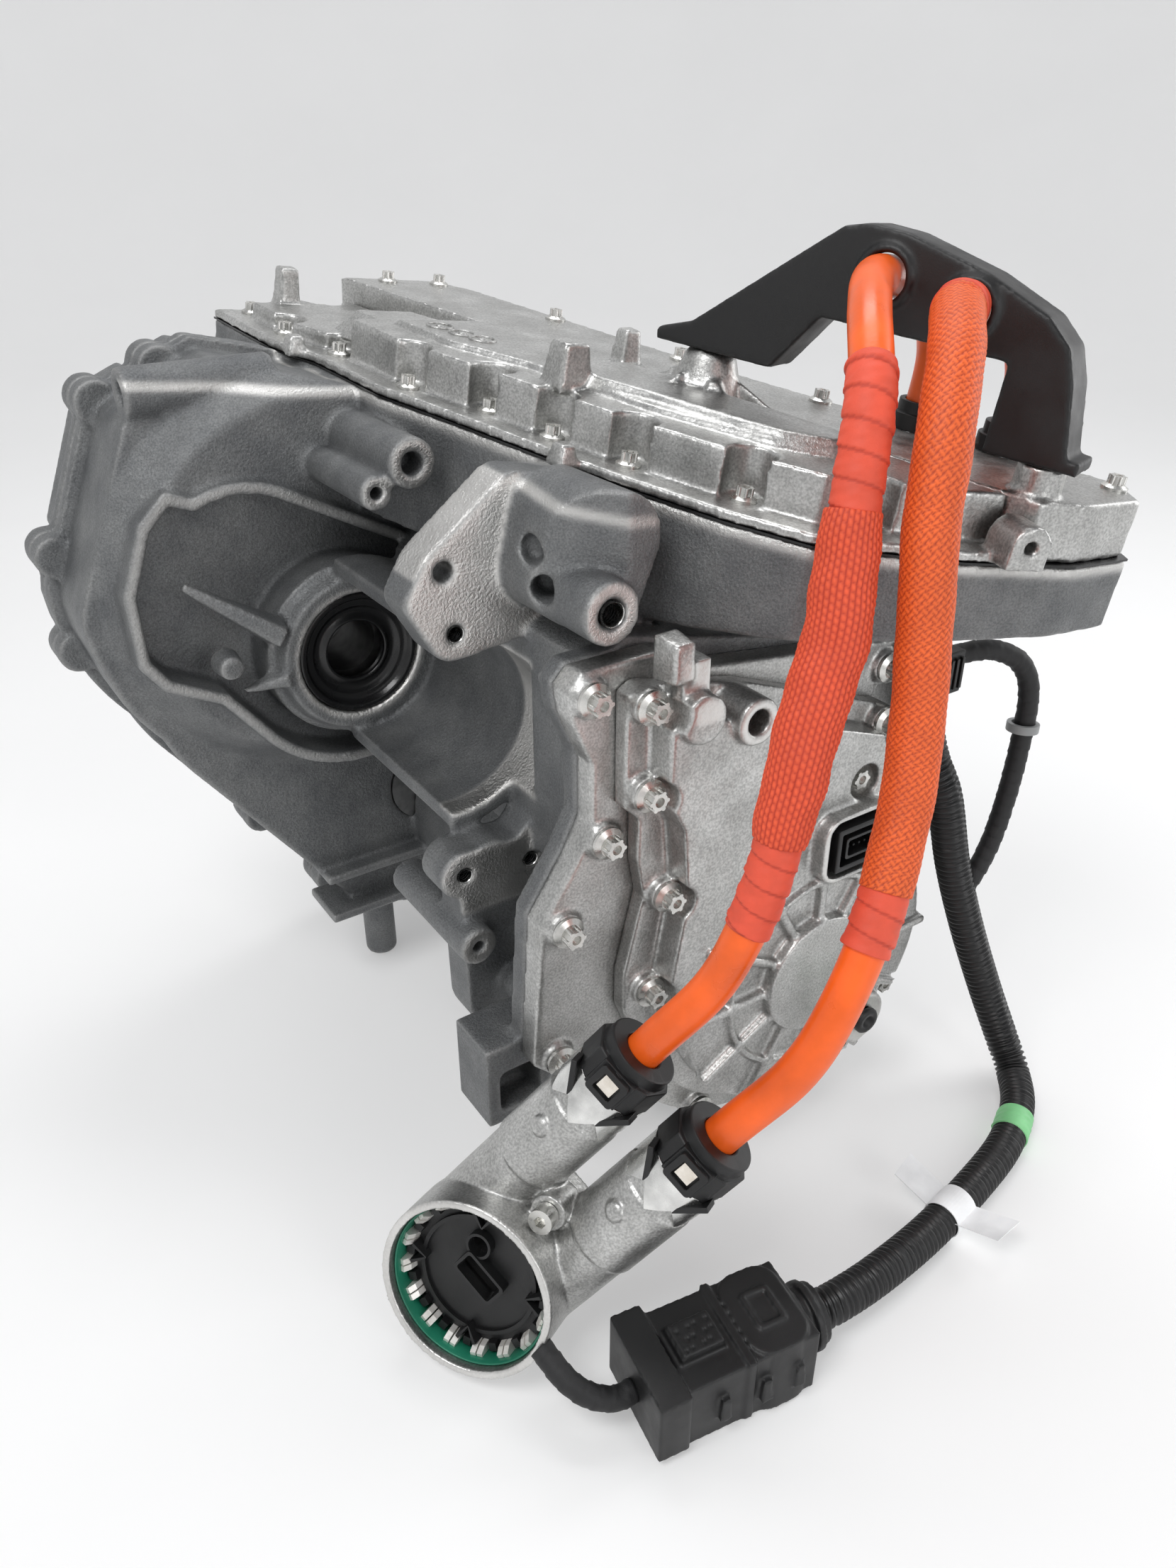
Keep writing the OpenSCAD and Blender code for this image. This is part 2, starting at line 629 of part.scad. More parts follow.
module housing_cuts() {
    disc(motor_c, stator_r + fit, shield_y1 - 1, wall_y0 - 12);
    disc(motor_c, stator_r - 14, shield_y1, wall_y0);
    difference() {
        xz(shield_y1 + 14, wall_y0 - 10) difference() {
            polygon(inset(neck_pts, -10));
            circle(tunnel_r + 10);
            translate(motor_c) circle(barrel_r - 4);
        }
        inv() translate([-300, -400, tray_bottom]) cube([700, 800, 200]);
    }
    for (z = [-76, 20]) translate([duct_x, wall_y0 - 20, z]) cube([72, 9, 76]);
    disc(out_c, tunnel_r, -saddle_y - 1, -2);
    xz(8 - 1, wall_y0 + 8) difference() {
        tub_plan(7);
        circle(seal_r + 16);
    }
    gear_room(wall_y1, joint_y + 1);
    above_tray();
    disc(motor_c, rear_bearing_r, wall_y1 - bearing_w, wall_y1 + 1);
    disc(motor_c, rear_bearing_r - 6, wall_y0 - 1, wall_y1);
    disc(lay_c, lay_bearing_r, wall_y1 - bearing_w, wall_y1 + 1);
    disc(out_c, seal_r, -3, seal_len);
    disc(out_c, trunnion_r + 6, seal_len - 1, wall_y1);
    disc(out_c, diff_bearing_r, diff_y0, wall_y1 + 1);
    for (c = saddle_holes) disc(c, saddle_hole_r, -saddle_y - 1, -saddle_y + 22);
    for (b = front_bosses) disc([b[0], b[1]], b[4], b[2] - 1, b[2] + 18);
    disc(plate_hole, 5, -saddle_y - 1, -saddle_y + 30);
    disc(mount_boss, mount_hole_r, mount_face_y - 1, mount_face_y + 26);
    disc(mount_boss, mount_hole_r + 2, mount_face_y - 1, mount_face_y + 3);
    for (c = shield_bolts) disc(c, bolt_d / 2, shield_y1 - 1, shield_y1 + 20);
    for (c = flange_bolt_at) disc(c, bolt_d / 2, joint_y - 12, joint_y + 1);
    difference() {
        inv() translate([0, 0, tray_floor]) linear_extrude(200) tray_hollow(tray_wall);
        xz(wall_y0 - 10, joint_y + 200) gear_core(-10);
        inv() under_tray(tray_floor - tray_bottom);
    }
    inv() screw_holes(small_bolt_d / 2, tray_top - 22, tray_top + 1);
    translate(tube_at - [1, 0, 0]) rotate([0, 90, 0]) cylinder(r = tube_hole_r, h = 61);
    translate([-26, shield_y1 - 1, -188]) cube([24, 20, 26]);
    for (p = pillar_holes) translate(p) rotate([0, 90, 45]) translate([0, 0, -14]) cylinder(r = 6.5, h = 30);
}

module main_housing() {
    color("dimgray") union() {
        difference() {
            housing_solid();
            housing_cuts();
        }
        inv() for (c = board_posts)
            translate([c[0], c[1], floor_at(c[1]) - 1]) cylinder(r = 4, h = board_h - floor_at(c[1]) + 1);
    }
}

// The part of the tray that hangs over the rear half of the gearbox
module tray_block_above_core() {
    difference() {
        tray_block(1);
        xz(joint_y - 50, joint_y + 200) gear_core(0);
    }
}

// Rear half of the gearbox
module gearbox_cover() {
    color("gray") difference() {
        union() {
            xz(joint_y, back_y1) gear_case(0);
            xz(joint_y, joint_y + 10) gear_case(-flange_lip);
            flange_lugs(joint_y, joint_y + 14);
            disc(out_c, seal_r + 8, back_y1, back_y1 + seal_len + 4);
            disc(lay_c, lay_bearing_r + 8, back_y1, back_y1 + 6);
            for (a = [20:40:340]) translate([0, back_y1 - 1, 0]) rotate([0, -a, 0])
                translate([seal_r + 4, 0, -3]) cube([56, 7, 6]);
        }
        gear_room(joint_y - 1, box_y1);
        tray_block_above_core();
        above_tray();
        disc(lay_c, lay_bearing_r, box_y1 - 1, box_y1 + bearing_w);
        disc(out_c, diff_bearing_r, box_y1 - 1, box_y1 + bearing_w);
        disc(out_c, trunnion_r + 6, box_y1, back_y1 + seal_len);
        disc(out_c, seal_r, back_y1 + 4, back_y1 + seal_len + 5);
        for (c = flange_bolt_at) {
            disc(c, bolt_d / 2 + clear, joint_y - 1, joint_y + 20);
            disc(c, bolt_d * 1.15, joint_y + 14, back_y1 + 20);
        }
        for (c = oil_plug_at) disc(c, oil_r, box_y1 - 1, back_y1 + 1);
    }
}

// End shield between the barrel and the end cover
module end_shield() {
    color("silver") difference() {
        union() {
            xz(shield_y0, shield_y1) shield_plan();
            for (c = shield_bolts) disc(c, bolt_d * 1.15, seat_y, shield_y1);
            ring(motor_c, front_bearing_r, front_bearing_r + 10, shield_y1 - 1, shield_y1 + 6);
        }
        disc(motor_c, front_bearing_r, shield_y1 - bearing_w, shield_y1 + 7);
        disc(motor_c, front_bearing_r - 6, shield_y0 - 1, shield_y1);
        for (c = shield_bolts) disc(c, bolt_d / 2 + clear, seat_y - 1, shield_y1 + 1);
        for (c = cover_bolts_xz) disc(c, bolt_d / 2, shield_y0 - 1, shield_y0 + 12);
    }
}

// Ribbed outer cover over the slip rings
module end_cover() {
    color("lightgray") difference() {
        union() {
            xz(rim_y0, shield_y0) cover_plan();
            xz(cover_y0 + 8, rim_y0 + 1) union() {
                polygon(cover_body_pts);
                translate(motor_c) circle(barrel_r - 24);
            }
            for (c = cover_bolts_xz) disc(c, bolt_d * 1.1, cover_seat_y, shield_y0);
            disc(motor_c, 36, cover_y0, cover_y0 + 12);
            for (a = [0:30:330]) translate([motor_x, cover_y0 + 3, motor_z]) rotate([0, -a, 0])
                translate([30, 0, -2.5]) cube([58, 8, 5]);
            for (c = [[60, 40], [92, 30]]) disc(c, 12, cover_y0 + 2, rim_y0);
            translate([52, cover_y0 + 10, 40]) cube([16, 14, 26]);
            disc(plug_boss_c, 17, cover_y0 + 2, rim_y0);
        }
        disc(motor_c, slip_r + 42, brush_y0, shield_y0 + 1);
        for (c = cover_bolts_xz) {
            disc(c, bolt_d / 2 + clear, cover_y0 - 20, shield_y0 + 1);
            disc(c, bolt_d * 1.25, cover_y0 - 20, cover_seat_y);
        }
        disc([92, 30], 6.5, cover_y0 - 1, shield_y0 - 4);
        disc(plug_boss_c, 7, cover_y0 - 1, cover_y0 + 14);
        translate([pocket_x, cover_y0 - 1, -78]) cube([44, 16, 34]);
    }
}

plug_boss_c = [194, -196];
pocket_x = 146;

// Plan of the cover's plateau, which steps down to low_h beyond step_y
low_h = 9;
step_y = 52;

module plateau_plan(margin, out, gap) {
    intersection() {
        difference() {
            polygon(inset(tray_pts, margin));
            for (c = cover_bolt_at) translate(c) circle(lobe_r + out);
        }
        left_of_seam(gap);
    }
}

module before_step(margin) {
    intersection() {
        children();
        translate([-300, -600]) square([700, 600 + step_y - margin]);
    }
}

module plateau_room(gap) {
    difference() {
        plateau_plan(plateau_in + inv_wall, 1 + inv_wall, gap + inv_wall);
        translate(bracket_at) circle(12);
    }
}

// Inverter cover: flange, raised plateau, posts and the bracket tower
module inverter_cover() {
    gap = seam_gap / 2;
    color("silver") inv() difference() {
        union() {
            translate([0, 0, -flange_t]) linear_extrude(flange_t) intersection() {
                tray_plan();
                left_of_seam(gap);
            }
            linear_extrude(low_h) plateau_plan(plateau_in, 1, gap);
            linear_extrude(cover_h) before_step(0) plateau_plan(plateau_in, 1, gap);
            translate([-24, 155, low_h - 1]) cylinder(r = 6, h = 20);
            translate([22, -92, cover_h - 1]) cylinder(r = 7, h = 20);
            translate([bracket_at[0], bracket_at[1], 0]) cylinder(r = 11, h = foot_h);
            for (a = [120, 180, 240]) translate([bracket_at[0], bracket_at[1], 0]) rotate(a)
                translate([0, -2.5, 0]) cube([20, 5, foot_h - 12]);
        }
        translate([0, 0, -flange_t - 1]) linear_extrude(flange_t + 1 + low_h - inv_wall)
            plateau_room(gap);
        translate([0, 0, -flange_t - 1]) linear_extrude(flange_t + 1 + cover_h - inv_wall)
            before_step(inv_wall) plateau_room(gap);
        screw_holes(small_bolt_d / 2 + clear, -flange_t - 1, 1);
        translate([bracket_at[0], bracket_at[1], foot_h - 20]) cylinder(r = small_bolt_d / 2, h = 30);
    }
}

right_foot_at = bracket_at + foot_run * [cos(bracket_yaw), sin(bracket_yaw)];

// Flat lid on the far side of the seam
module inverter_lid() {
    gap = seam_gap / 2;
    color("lightgray") inv() difference() {
        union() {
            translate([0, 0, -flange_t]) linear_extrude(flange_t + cover_h) intersection() {
                polygon(inset(tray_pts, 3));
                right_of_seam(gap);
            }
            translate(concat(right_foot_at, cover_h - 1)) cylinder(r = 11, h = right_foot_h - cover_h + 1);
        }
        translate([0, 0, -flange_t - 1]) linear_extrude(flange_t + cover_h + 1 - inv_wall) intersection() {
            difference() {
                polygon(inset(tray_pts, 3 + inv_wall));
                for (c = lid_screw_at) translate(c) circle(lobe_r * 0.8);
                translate(right_foot_at) circle(12);
            }
            right_of_seam(gap + inv_wall);
        }
        translate(concat(right_foot_at, right_foot_h - 20)) cylinder(r = small_bolt_d / 2, h = 30);
        translate([bracket_at[0], bracket_at[1], -flange_t - 1]) cylinder(r = 12, h = 80);
        screw_holes(small_bolt_d / 2 + clear, -flange_t - 1, cover_h + 1);
        for (g = gland_at) translate([g[0], g[1], 0]) cylinder(r = gland_r - 3, h = cover_h + 1);
    }
}

module inverter_gasket() {
    color("black") inv() translate([0, 0, tray_top]) linear_extrude(gasket_t) difference() {
        tray_plan();
        tray_hollow(tray_wall - 2);
        for (c = concat(cover_bolt_at, lid_screw_at)) translate(c) circle(small_bolt_d / 2 + clear);
    }
}

// Fasteners
module cover_bolts() {
    color("gainsboro") inv() for (c = cover_bolt_at)
        translate([c[0], c[1], 0]) lobed_bolt(small_bolt_d, flange_t + gasket_t + 18);
}

module lid_screws() {
    color("gainsboro") inv() for (c = lid_screw_at)
        translate([c[0], c[1], cover_h]) lobed_bolt(small_bolt_d, cover_h + flange_t + gasket_t + 18);
}

module end_cover_bolts() {
    color("gainsboro") for (c = cover_bolts_xz) front_bolt(c, cover_seat_y, bolt_d, shield_y0 - cover_seat_y + 10);
}

module end_shield_bolts() {
    color("gainsboro") for (c = shield_bolts) front_bolt(c, seat_y, bolt_d, shield_y1 - seat_y + 16);
}

module gearbox_bolts() {
    color("gainsboro") for (c = flange_bolt_at) rear_bolt(c, joint_y + 14, bolt_d, 14 + 10);
}

// Motor
module stator_core() {
    color("slategray") ring(motor_c, rotor_r + air_gap, stator_r, stator_y0, stator_y1);
}

module stator_windings() {
    color("peru") for (y = [stator_y0 - 16, stator_y1])
        ring(motor_c, rotor_r + 7, stator_r - 6, y, y + 16);
}

module rotor_core() {
    color("darkgray") ring(motor_c, shaft_r, rotor_r, stator_y0, stator_y1);
}

module rotor_shaft() {
    color("lightsteelblue") {
        disc(motor_c, front_shaft_r - 3, brush_y0 + 1, shield_y0 - 2);
        disc(motor_c, front_shaft_r, shield_y0 - 2, shield_y1 + 4);
        disc(motor_c, shaft_r - 4, shield_y1 + 4, stator_y0 - 6);
        disc(motor_c, shaft_r, stator_y0 - 6, stator_y1 + 6);
        disc(motor_c, pinion_shaft_r + 2, stator_y1 + 6, wall_y0 - 2);
        disc(motor_c, pinion_shaft_r, wall_y0 - 2, gear_y1 + gear_w1 + 2);
    }
}

module slip_rings() {
    color("goldenrod") for (k = [0, 1])
        ring(motor_c, front_shaft_r - 3, slip_r, shield_y0 - 9 - 9 * k, shield_y0 - 3 - 9 * k);
}

module sensor_wheel() {
    color("dimgray") ring(motor_c, shaft_r - 4, shaft_r + 4, shield_y1 + 9, shield_y1 + 14);
}

module drive_pinion() {
    color("lightsteelblue")
        gear(motor_c, pinion_teeth, module_1, mesh_1, pinion_shaft_r, gear_y1, gear_y1 + gear_w1);
}

module rotor_bearings() {
    color("gainsboro") {
        ring(motor_c, front_shaft_r + fit, front_bearing_r - fit, shield_y1 - bearing_w, shield_y1);
        ring(motor_c, pinion_shaft_r + fit, rear_bearing_r - fit, wall_y1 - bearing_w, wall_y1);
    }
}

module rotor_seal() {
    color("black") ring(motor_c, pinion_shaft_r + 0.1, rear_bearing_r - 6 - fit, wall_y0, wall_y0 + 6);
}

module brush_holder() {
    color("black") difference() {
        disc(motor_c, slip_r + 36, brush_y0, shield_y0);
        disc(motor_c, slip_r + 0.4, cover_y0, shield_y0 + 1);
        translate([motor_x - 100, cover_y0, motor_z - 104]) cube([200, 100, 100]);
    }
}

module position_sensor() {
    color("darkgreen") ring(motor_c, shaft_r + 5, shaft_r + 16, shield_y1 + 6, shield_y1 + 15);
}

// Gearbox train
module layshaft() {
    color("lightsteelblue") {
        disc(lay_c, lay_end_r, wall_y1 - bearing_w + 0.5, gear_y1 - 2);
        disc(lay_c, lay_r, gear_y1 - 2, gear_y2);
        gear(lay_c, pinion_teeth, module_2, mesh_2, 1, gear_y2, gear_y2 + gear_w2);
        disc(lay_c, lay_r, gear_y2 + gear_w2, box_y1 - 4);
        disc(lay_c, lay_end_r, box_y1 - 4, box_y1 + bearing_w - 0.5);
        disc(lay_c, 2, gear_y2 - 1, gear_y2 + gear_w2 + 1);
    }
}

module layshaft_gear() {
    color("lightsteelblue") gear(lay_c, wheel_teeth, module_1, mesh_1 + 180 + 180 / wheel_teeth, lay_r,
                                 gear_y1, gear_y1 + gear_w1);
}

module layshaft_bearings() {
    color("gainsboro") {
        ring(lay_c, lay_end_r + fit, lay_bearing_r - fit, wall_y1 - bearing_w, wall_y1);
        ring(lay_c, lay_end_r + fit, lay_bearing_r - fit, box_y1, box_y1 + bearing_w);
    }
}

module ring_gear() {
    color("lightsteelblue") gear(out_c, wheel_teeth, module_2, mesh_2 + 180 + 180 / wheel_teeth, ring_bore_r,
                                 gear_y2, gear_y2 + gear_w2);
}

case_mid = (case_y0 + case_y1) / 2;
planet_r = 11;
planet_in = 20;
case_hollow_r = 36;

module differential_case() {
    color("darkgray") difference() {
        union() {
            disc(out_c, trunnion_r, diff_y0, diff_y1);
            disc(out_c, case_r, case_y0, case_y1);
            disc(out_c, ring_bore_r, gear_y2 + 1, gear_y2 + gear_w2 - 1);
        }
        disc(out_c, output_r + 0.6, diff_y0 - 1, diff_y1 + 1);
        disc(out_c, case_hollow_r, case_y0 + 8, case_y1 - 8);
        translate([-ring_bore_r, case_mid, 0]) rotate([0, 90, 0]) cylinder(r = 5, h = 2 * ring_bore_r);
    }
}

module side_gears() {
    color("lightsteelblue") for (s = [0, 1]) translate([0, case_mid, 0]) mirror([0, s, 0]) difference() {
        taper(out_c, 33, 24, -case_mid + case_y0 + 8, -planet_r - 1);
        disc(out_c, output_r, -case_mid, 0);
    }
}

module planet_gears() {
    color("lightsteelblue") for (s = [0, 180]) translate([0, case_mid, 0]) rotate([0, s, 0])
        translate([planet_in, 0, 0]) rotate([0, 90, 0]) difference() {
            cylinder(r1 = planet_r - 3, r2 = planet_r, h = case_hollow_r - planet_in - 3);
            translate([0, 0, -1]) cylinder(r = 5 + fit, h = 40);
        }
}

module planet_pin() {
    color("gainsboro") translate([-case_r + 1, case_mid, 0]) rotate([0, 90, 0]) cylinder(r = 5 - fit, h = 2 * case_r - 2);
}

module differential_bearings() {
    color("gainsboro") {
        ring(out_c, trunnion_r + fit, diff_bearing_r - fit, diff_y0, diff_y0 + bearing_w + 2);
        ring(out_c, trunnion_r + fit, diff_bearing_r - fit, box_y1, box_y1 + bearing_w - 0.2);
    }
}

// Radial shaft seals with a stepped face
module shaft_seal() {
    difference() {
        cylinder(r = seal_r - fit, h = seal_len);
        translate([0, 0, -1]) cylinder(r = output_r, h = seal_len + 2);
        translate([0, 0, -1]) difference() {
            cylinder(r = seal_r - 4, h = 7);
            translate([0, 0, -1]) cylinder(r = output_r + 3, h = 9);
        }
    }
}

module output_seal() {
    color("black") rotate([-90, 0, 0]) shaft_seal();
}

module rear_seal() {
    color("black") translate([0, back_y1 + seal_len + 4, 0]) rotate([90, 0, 0]) shaft_seal();
}

oil_plug_at = [[6, -154], [-94, 34]];
oil_r = 9;

module oil_plugs() {
    color("gainsboro") for (c = oil_plug_at) translate([c[0], back_y1, c[1]]) rotate([-90, 0, 0]) difference() {
        union() {
            cylinder(r = oil_r + 4, h = 6);
            translate([0, 0, -back_t + 1]) cylinder(r = oil_r - clear, h = back_t);
        }
        translate([0, 0, 2]) cylinder(r = 4.6, h = 10, $fn = 6);
    }
}

module breather() {
    color("black") translate(breather_at) {
        difference() {
            cylinder(r = 7, h = 16);
            translate([0, 0, 12]) cylinder(r = 4, h = 8);
        }
        translate([0, 0, 6]) cylinder(r = 9, h = 3);
    }
}

// Coolant pipe out of the inverter's right end
module coolant_pipe() {
    color("gainsboro") inv() coolant_frame() translate([0, 0, 4]) difference() {
        union() {
            cylinder(r = 15, h = 18);
            translate([0, 0, 18]) cylinder(r = 17, h = 4);
        }
        translate([0, 0, 8]) cylinder(r = 11, h = 40);
    }
}

// Frame of the coolant port, its axis square to the tray's right wall
module coolant_frame() {
    run = tray_pts[13] - tray_pts[12];
    mid = (tray_pts[13] + tray_pts[12]) / 2;
    translate([mid[0], mid[1], tray_top - 28]) rotate([0, 90, atan2(-run[0], run[1])]) children();
}

// Inverter electronics
module power_module() {
    color("dimgray") inv() translate([15, -80, tray_floor]) cube([84, 78, 24]);
}

module capacitor() {
    color("black") inv() translate([62, -148, tray_floor]) cube([56, 56, 34]);
}

module control_board() {
    color("darkgreen") inv() translate([0, 0, board_h]) linear_extrude(board_t) difference() {
        polygon(inset(tray_pts, tray_wall + 8));
        for (c = concat(cover_bolt_at, lid_screw_at)) translate(c) circle(lobe_r + 3);
        translate([-200, board_end_y]) square([500, 300]);
    }
}

module busbars() {
    color("peru") inv() for (k = [0:2]) translate([24 + 24 * k, -70, tray_floor + 24 + clear]) {
        cube([14, 76, 3]);
        translate([0, 72, -20]) cube([14, 4, 22]);
    }
}

// Cable bracket
module bracket_frame() {
    inv() translate([bracket_at[0], bracket_at[1], 0]) rotate([0, 0, bracket_yaw]) rotate([90, 0, 0]) children();
}

module cable_bracket() {
    color("black") difference() {
        bracket_frame() difference() {
            translate([0, 0, -bracket_depth / 2]) linear_extrude(bracket_depth) polygon(bracket_pts);
            translate([0, 0, -bracket_depth]) linear_extrude(1.5 * bracket_depth - bracket_t)
                polygon(inset(bracket_pts, bracket_t));
            for (c = cable_holes) translate([c[0], c[1], 0]) cylinder(r = cable_hole_r, h = bracket_depth);
        }
        inv() for (c = [bracket_at, right_foot_at])
            translate([c[0], c[1], 0]) cylinder(r = small_bolt_d / 2 + clear, h = 60);
        inv() translate([bracket_at[0], bracket_at[1], foot_h + bracket_t]) cylinder(r = small_bolt_d * 1.3, h = 30);
    }
}

module bracket_bolts() {
    color("gainsboro") inv() {
        translate([bracket_at[0], bracket_at[1], foot_h + bracket_t]) lobed_bolt(small_bolt_d, bracket_t + 17);
        translate(concat(right_foot_at, right_foot_h + bracket_t)) lobed_bolt(small_bolt_d, bracket_t + 17);
    }
}

// Glands where the cables leave the inverter, behind the bracket
module cable_glands() {
    color("black") inv() for (g = gland_at) translate([g[0], g[1], cover_h]) difference() {
        union() {
            cylinder(r = gland_r, h = 8);
            cylinder(r = gland_r - 2, h = 14, $fn = 64);
        }
        translate([0, 0, -1]) cylinder(r = cable_d / 2 + clear, h = 30);
    }
}

module cable_ends() {
    color("orangered") {
        swept(stub_left, cable_d);
        swept(stub_right, cable_d);
    }
}

module left_cable() {
    color("orangered") swept(left_route, cable_d);
}

module right_cable() {
    color("orangered") swept(right_route, cable_d);
}

// High-voltage connector
module socket_frame() {
    translate(socket_at) rotate([0, socket_fall, socket_yaw]) rotate([0, 0, socket_turn]) children();
}

module pipe_places() {
    for (s = [-1, 1]) translate([0, s * pipe_pitch / 2, pipe_z]) rotate([0, 90, 0]) children();
}

module connector_head() {
    color("silver") socket_frame() difference() {
        union() {
            translate([0, 0, -8]) cylinder(r = socket_r, h = socket_depth + 6);
            translate([0, 0, -26]) cylinder(r = socket_r - 9, h = 20);
            translate([0, -pipe_pitch / 2 - 8, -28]) cube([56, pipe_pitch + 16, 24]);
            pipe_places() cylinder(r = pipe_r, h = pipe_len);
            translate([screw_at[0], screw_at[1], -14]) cylinder(r = 9, h = 18);
        }
        translate([0, 0, -4]) cylinder(r = socket_r - 4, h = 60);
        pipe_places() translate([0, 0, 60]) cylinder(r = cable_d / 2 + 2, h = pipe_len);
        translate([screw_at[0], screw_at[1], -20]) cylinder(r = 3.2, h = 60);
    }
}

module connector_caps() {
    color("black") socket_frame() pipe_places() translate([0, 0, pipe_len]) difference() {
        union() {
            cylinder(r = pipe_r + 2, h = cap_len - 6, $fn = 8);
            cylinder(r = pipe_r - 1, h = cap_len);
        }
        translate([0, 0, -1]) cylinder(r = cable_d / 2 + clear, h = 60);
    }
}

module connector_insulator() {
    color("black") socket_frame() translate([0, 0, -4]) difference() {
        cylinder(r = socket_r - 9, h = 10);
        translate([-3, -12, 3]) cube([11, 22, 20]);
        translate([14, 10, 3]) cylinder(r = 5, h = 20);
    }
}

module contact_springs() {
    color("gainsboro") socket_frame() for (a = [0:22.5:337.5]) rotate(a)
        translate([socket_r - 8.6, -3.5, -3.8]) cube([3, 7, 16]);
}

module connector_seal() {
    color("seagreen") socket_frame() translate([0, 0, socket_depth - 12]) difference() {
        cylinder(r = socket_r - 4 - clear, h = 5);
        translate([0, 0, -1]) cylinder(r = socket_r - 5.4, h = 20);
    }
}

module connector_screw() {
    color("gainsboro") socket_frame() translate([screw_at[0], screw_at[1], 4 + clear]) difference() {
        union() {
            cylinder(r = 6, h = 8);
            translate([0, 0, -22]) cylinder(r = 3.2 - fit, h = 23);
        }
        translate([0, 0, 3]) cylinder(r = 3, h = 10, $fn = 6);
    }
}

// Low-voltage harness
module signal_socket() {
    color("black") {
        translate([pocket_x + 4, cover_y0 - 2, -74]) difference() {
            cube([36, 17 - clear, 26]);
            translate([3, -1, 3]) cube([30, 12, 20]);
        }
        translate([219, shield_y0 - 26, 4]) cube([22, 26, 24]);
    }
}

module harness_tube() {
    color("black") swept(harness_route, harness_d);
}

module harness_branch() {
    color("black") swept(branch_route, branch_d);
}

module harness_tie() {
    color("gray") translate([290, -244.5, -30]) rotate([-4.3, 5.7, 0]) difference() {
        cylinder(r = branch_d / 2 + 3, h = 5);
        translate([0, 0, -1]) cylinder(r = branch_d / 2 + clear, h = 8);
    }
}

module plug_frame() {
    translate(plug_at) rotate([0, 0, plug_yaw]) children();
}

module inline_plug() {
    color("black") plug_frame() difference() {
        union() {
            translate([-plug_len / 2 + 14, -plug_w / 2, 0]) cube([plug_len - 24, plug_w, plug_h]);
            translate([-plug_len / 2, 0, 20]) rotate([0, 90, 0]) cylinder(r = 15, h = 20);
            translate([plug_front - 16, -plug_w / 2 - 4, 4]) cube([16, plug_w + 8, plug_h - 2]);
        }
        translate([-4, -plug_w / 2 - 1, 12]) cube([34, 5, 18]);
        translate([plug_back - 10, 0, 20]) rotate([0, 90, 0]) cylinder(r = harness_d / 2 + clear, h = 10);
    }
}

module plug_lock() {
    color("black") plug_frame() translate([-4 + clear, -plug_w / 2 - 5, 12 + clear]) {
        cube([34 - lock_travel - 2 * clear, 9 - clear, 18 - 2 * clear]);
    }
}

module plug_pigtail() {
    color("black") swept(pigtail_route, branch_d);
}

main_housing();
gearbox_cover();
end_shield();
end_cover();
inverter_cover();
inverter_lid();
inverter_gasket();
cover_bolts();
lid_screws();
end_cover_bolts();
end_shield_bolts();
gearbox_bolts();
stator_core();
stator_windings();
rotor_core();
rotor_shaft();
slip_rings();
sensor_wheel();
drive_pinion();
rotor_bearings();
rotor_seal();
brush_holder();
position_sensor();
layshaft();
layshaft_gear();
layshaft_bearings();
ring_gear();
differential_case();
side_gears();
planet_gears();
planet_pin();
differential_bearings();
output_seal();
rear_seal();
oil_plugs();
breather();
coolant_pipe();
power_module();
capacitor();
control_board();
busbars();
cable_bracket();
bracket_bolts();
cable_glands();
cable_ends();
left_cable();
right_cable();
connector_head();
connector_caps();
connector_insulator();
contact_springs();
connector_seal();
connector_screw();
signal_socket();
harness_tube();
harness_branch();
harness_tie();
inline_plug();
plug_lock();
plug_pigtail();
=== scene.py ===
"""Dress the electric drive unit: cast and machined finishes, sleeved cables, connector and harness."""
import math

import bmesh
import bpy
import numpy as np
from mathutils import Matrix, Vector


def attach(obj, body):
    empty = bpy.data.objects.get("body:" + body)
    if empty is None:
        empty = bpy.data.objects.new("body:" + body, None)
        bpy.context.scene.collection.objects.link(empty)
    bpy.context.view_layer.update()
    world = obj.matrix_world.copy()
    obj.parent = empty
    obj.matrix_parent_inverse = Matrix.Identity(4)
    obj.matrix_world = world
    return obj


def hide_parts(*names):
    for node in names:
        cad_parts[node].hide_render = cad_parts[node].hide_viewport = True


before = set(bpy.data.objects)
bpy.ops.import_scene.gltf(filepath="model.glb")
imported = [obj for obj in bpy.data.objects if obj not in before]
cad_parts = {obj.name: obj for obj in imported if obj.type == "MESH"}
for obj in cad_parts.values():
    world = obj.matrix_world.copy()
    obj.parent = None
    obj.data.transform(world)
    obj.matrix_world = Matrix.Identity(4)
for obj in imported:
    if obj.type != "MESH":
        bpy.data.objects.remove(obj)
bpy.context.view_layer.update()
scene = bpy.context.scene

# Places shared with the solids, in millimetres and degrees
MM = 0.001
FLOOR_Z = -258
SADDLE_Y = -140
SADDLE_R = 48
SADDLE_HOLES = [(-9, 62), (-12, -73), (28, -77)]
MOUNT_BOSS = (34, 84)
MOUNT_FACE_Y = -206
TUB_Y = 8
JOINT_Y = 95
SEAL_R = 36.5
COVER_Y = -242
COVER_EYE = (92, 30)
COVER_PLUG = (194, -196)
POCKET = (168, -61)
HUB = (150, -142)
TOWER = (89, -118)
CONTACTS = 16
CABLE_D = 18
HARNESS_D = 20
BRANCH_D = 12
PIPE_R = 19
PIPE_PITCH = 50
PIPE_Z = -12
PLUG_AXIS = 20

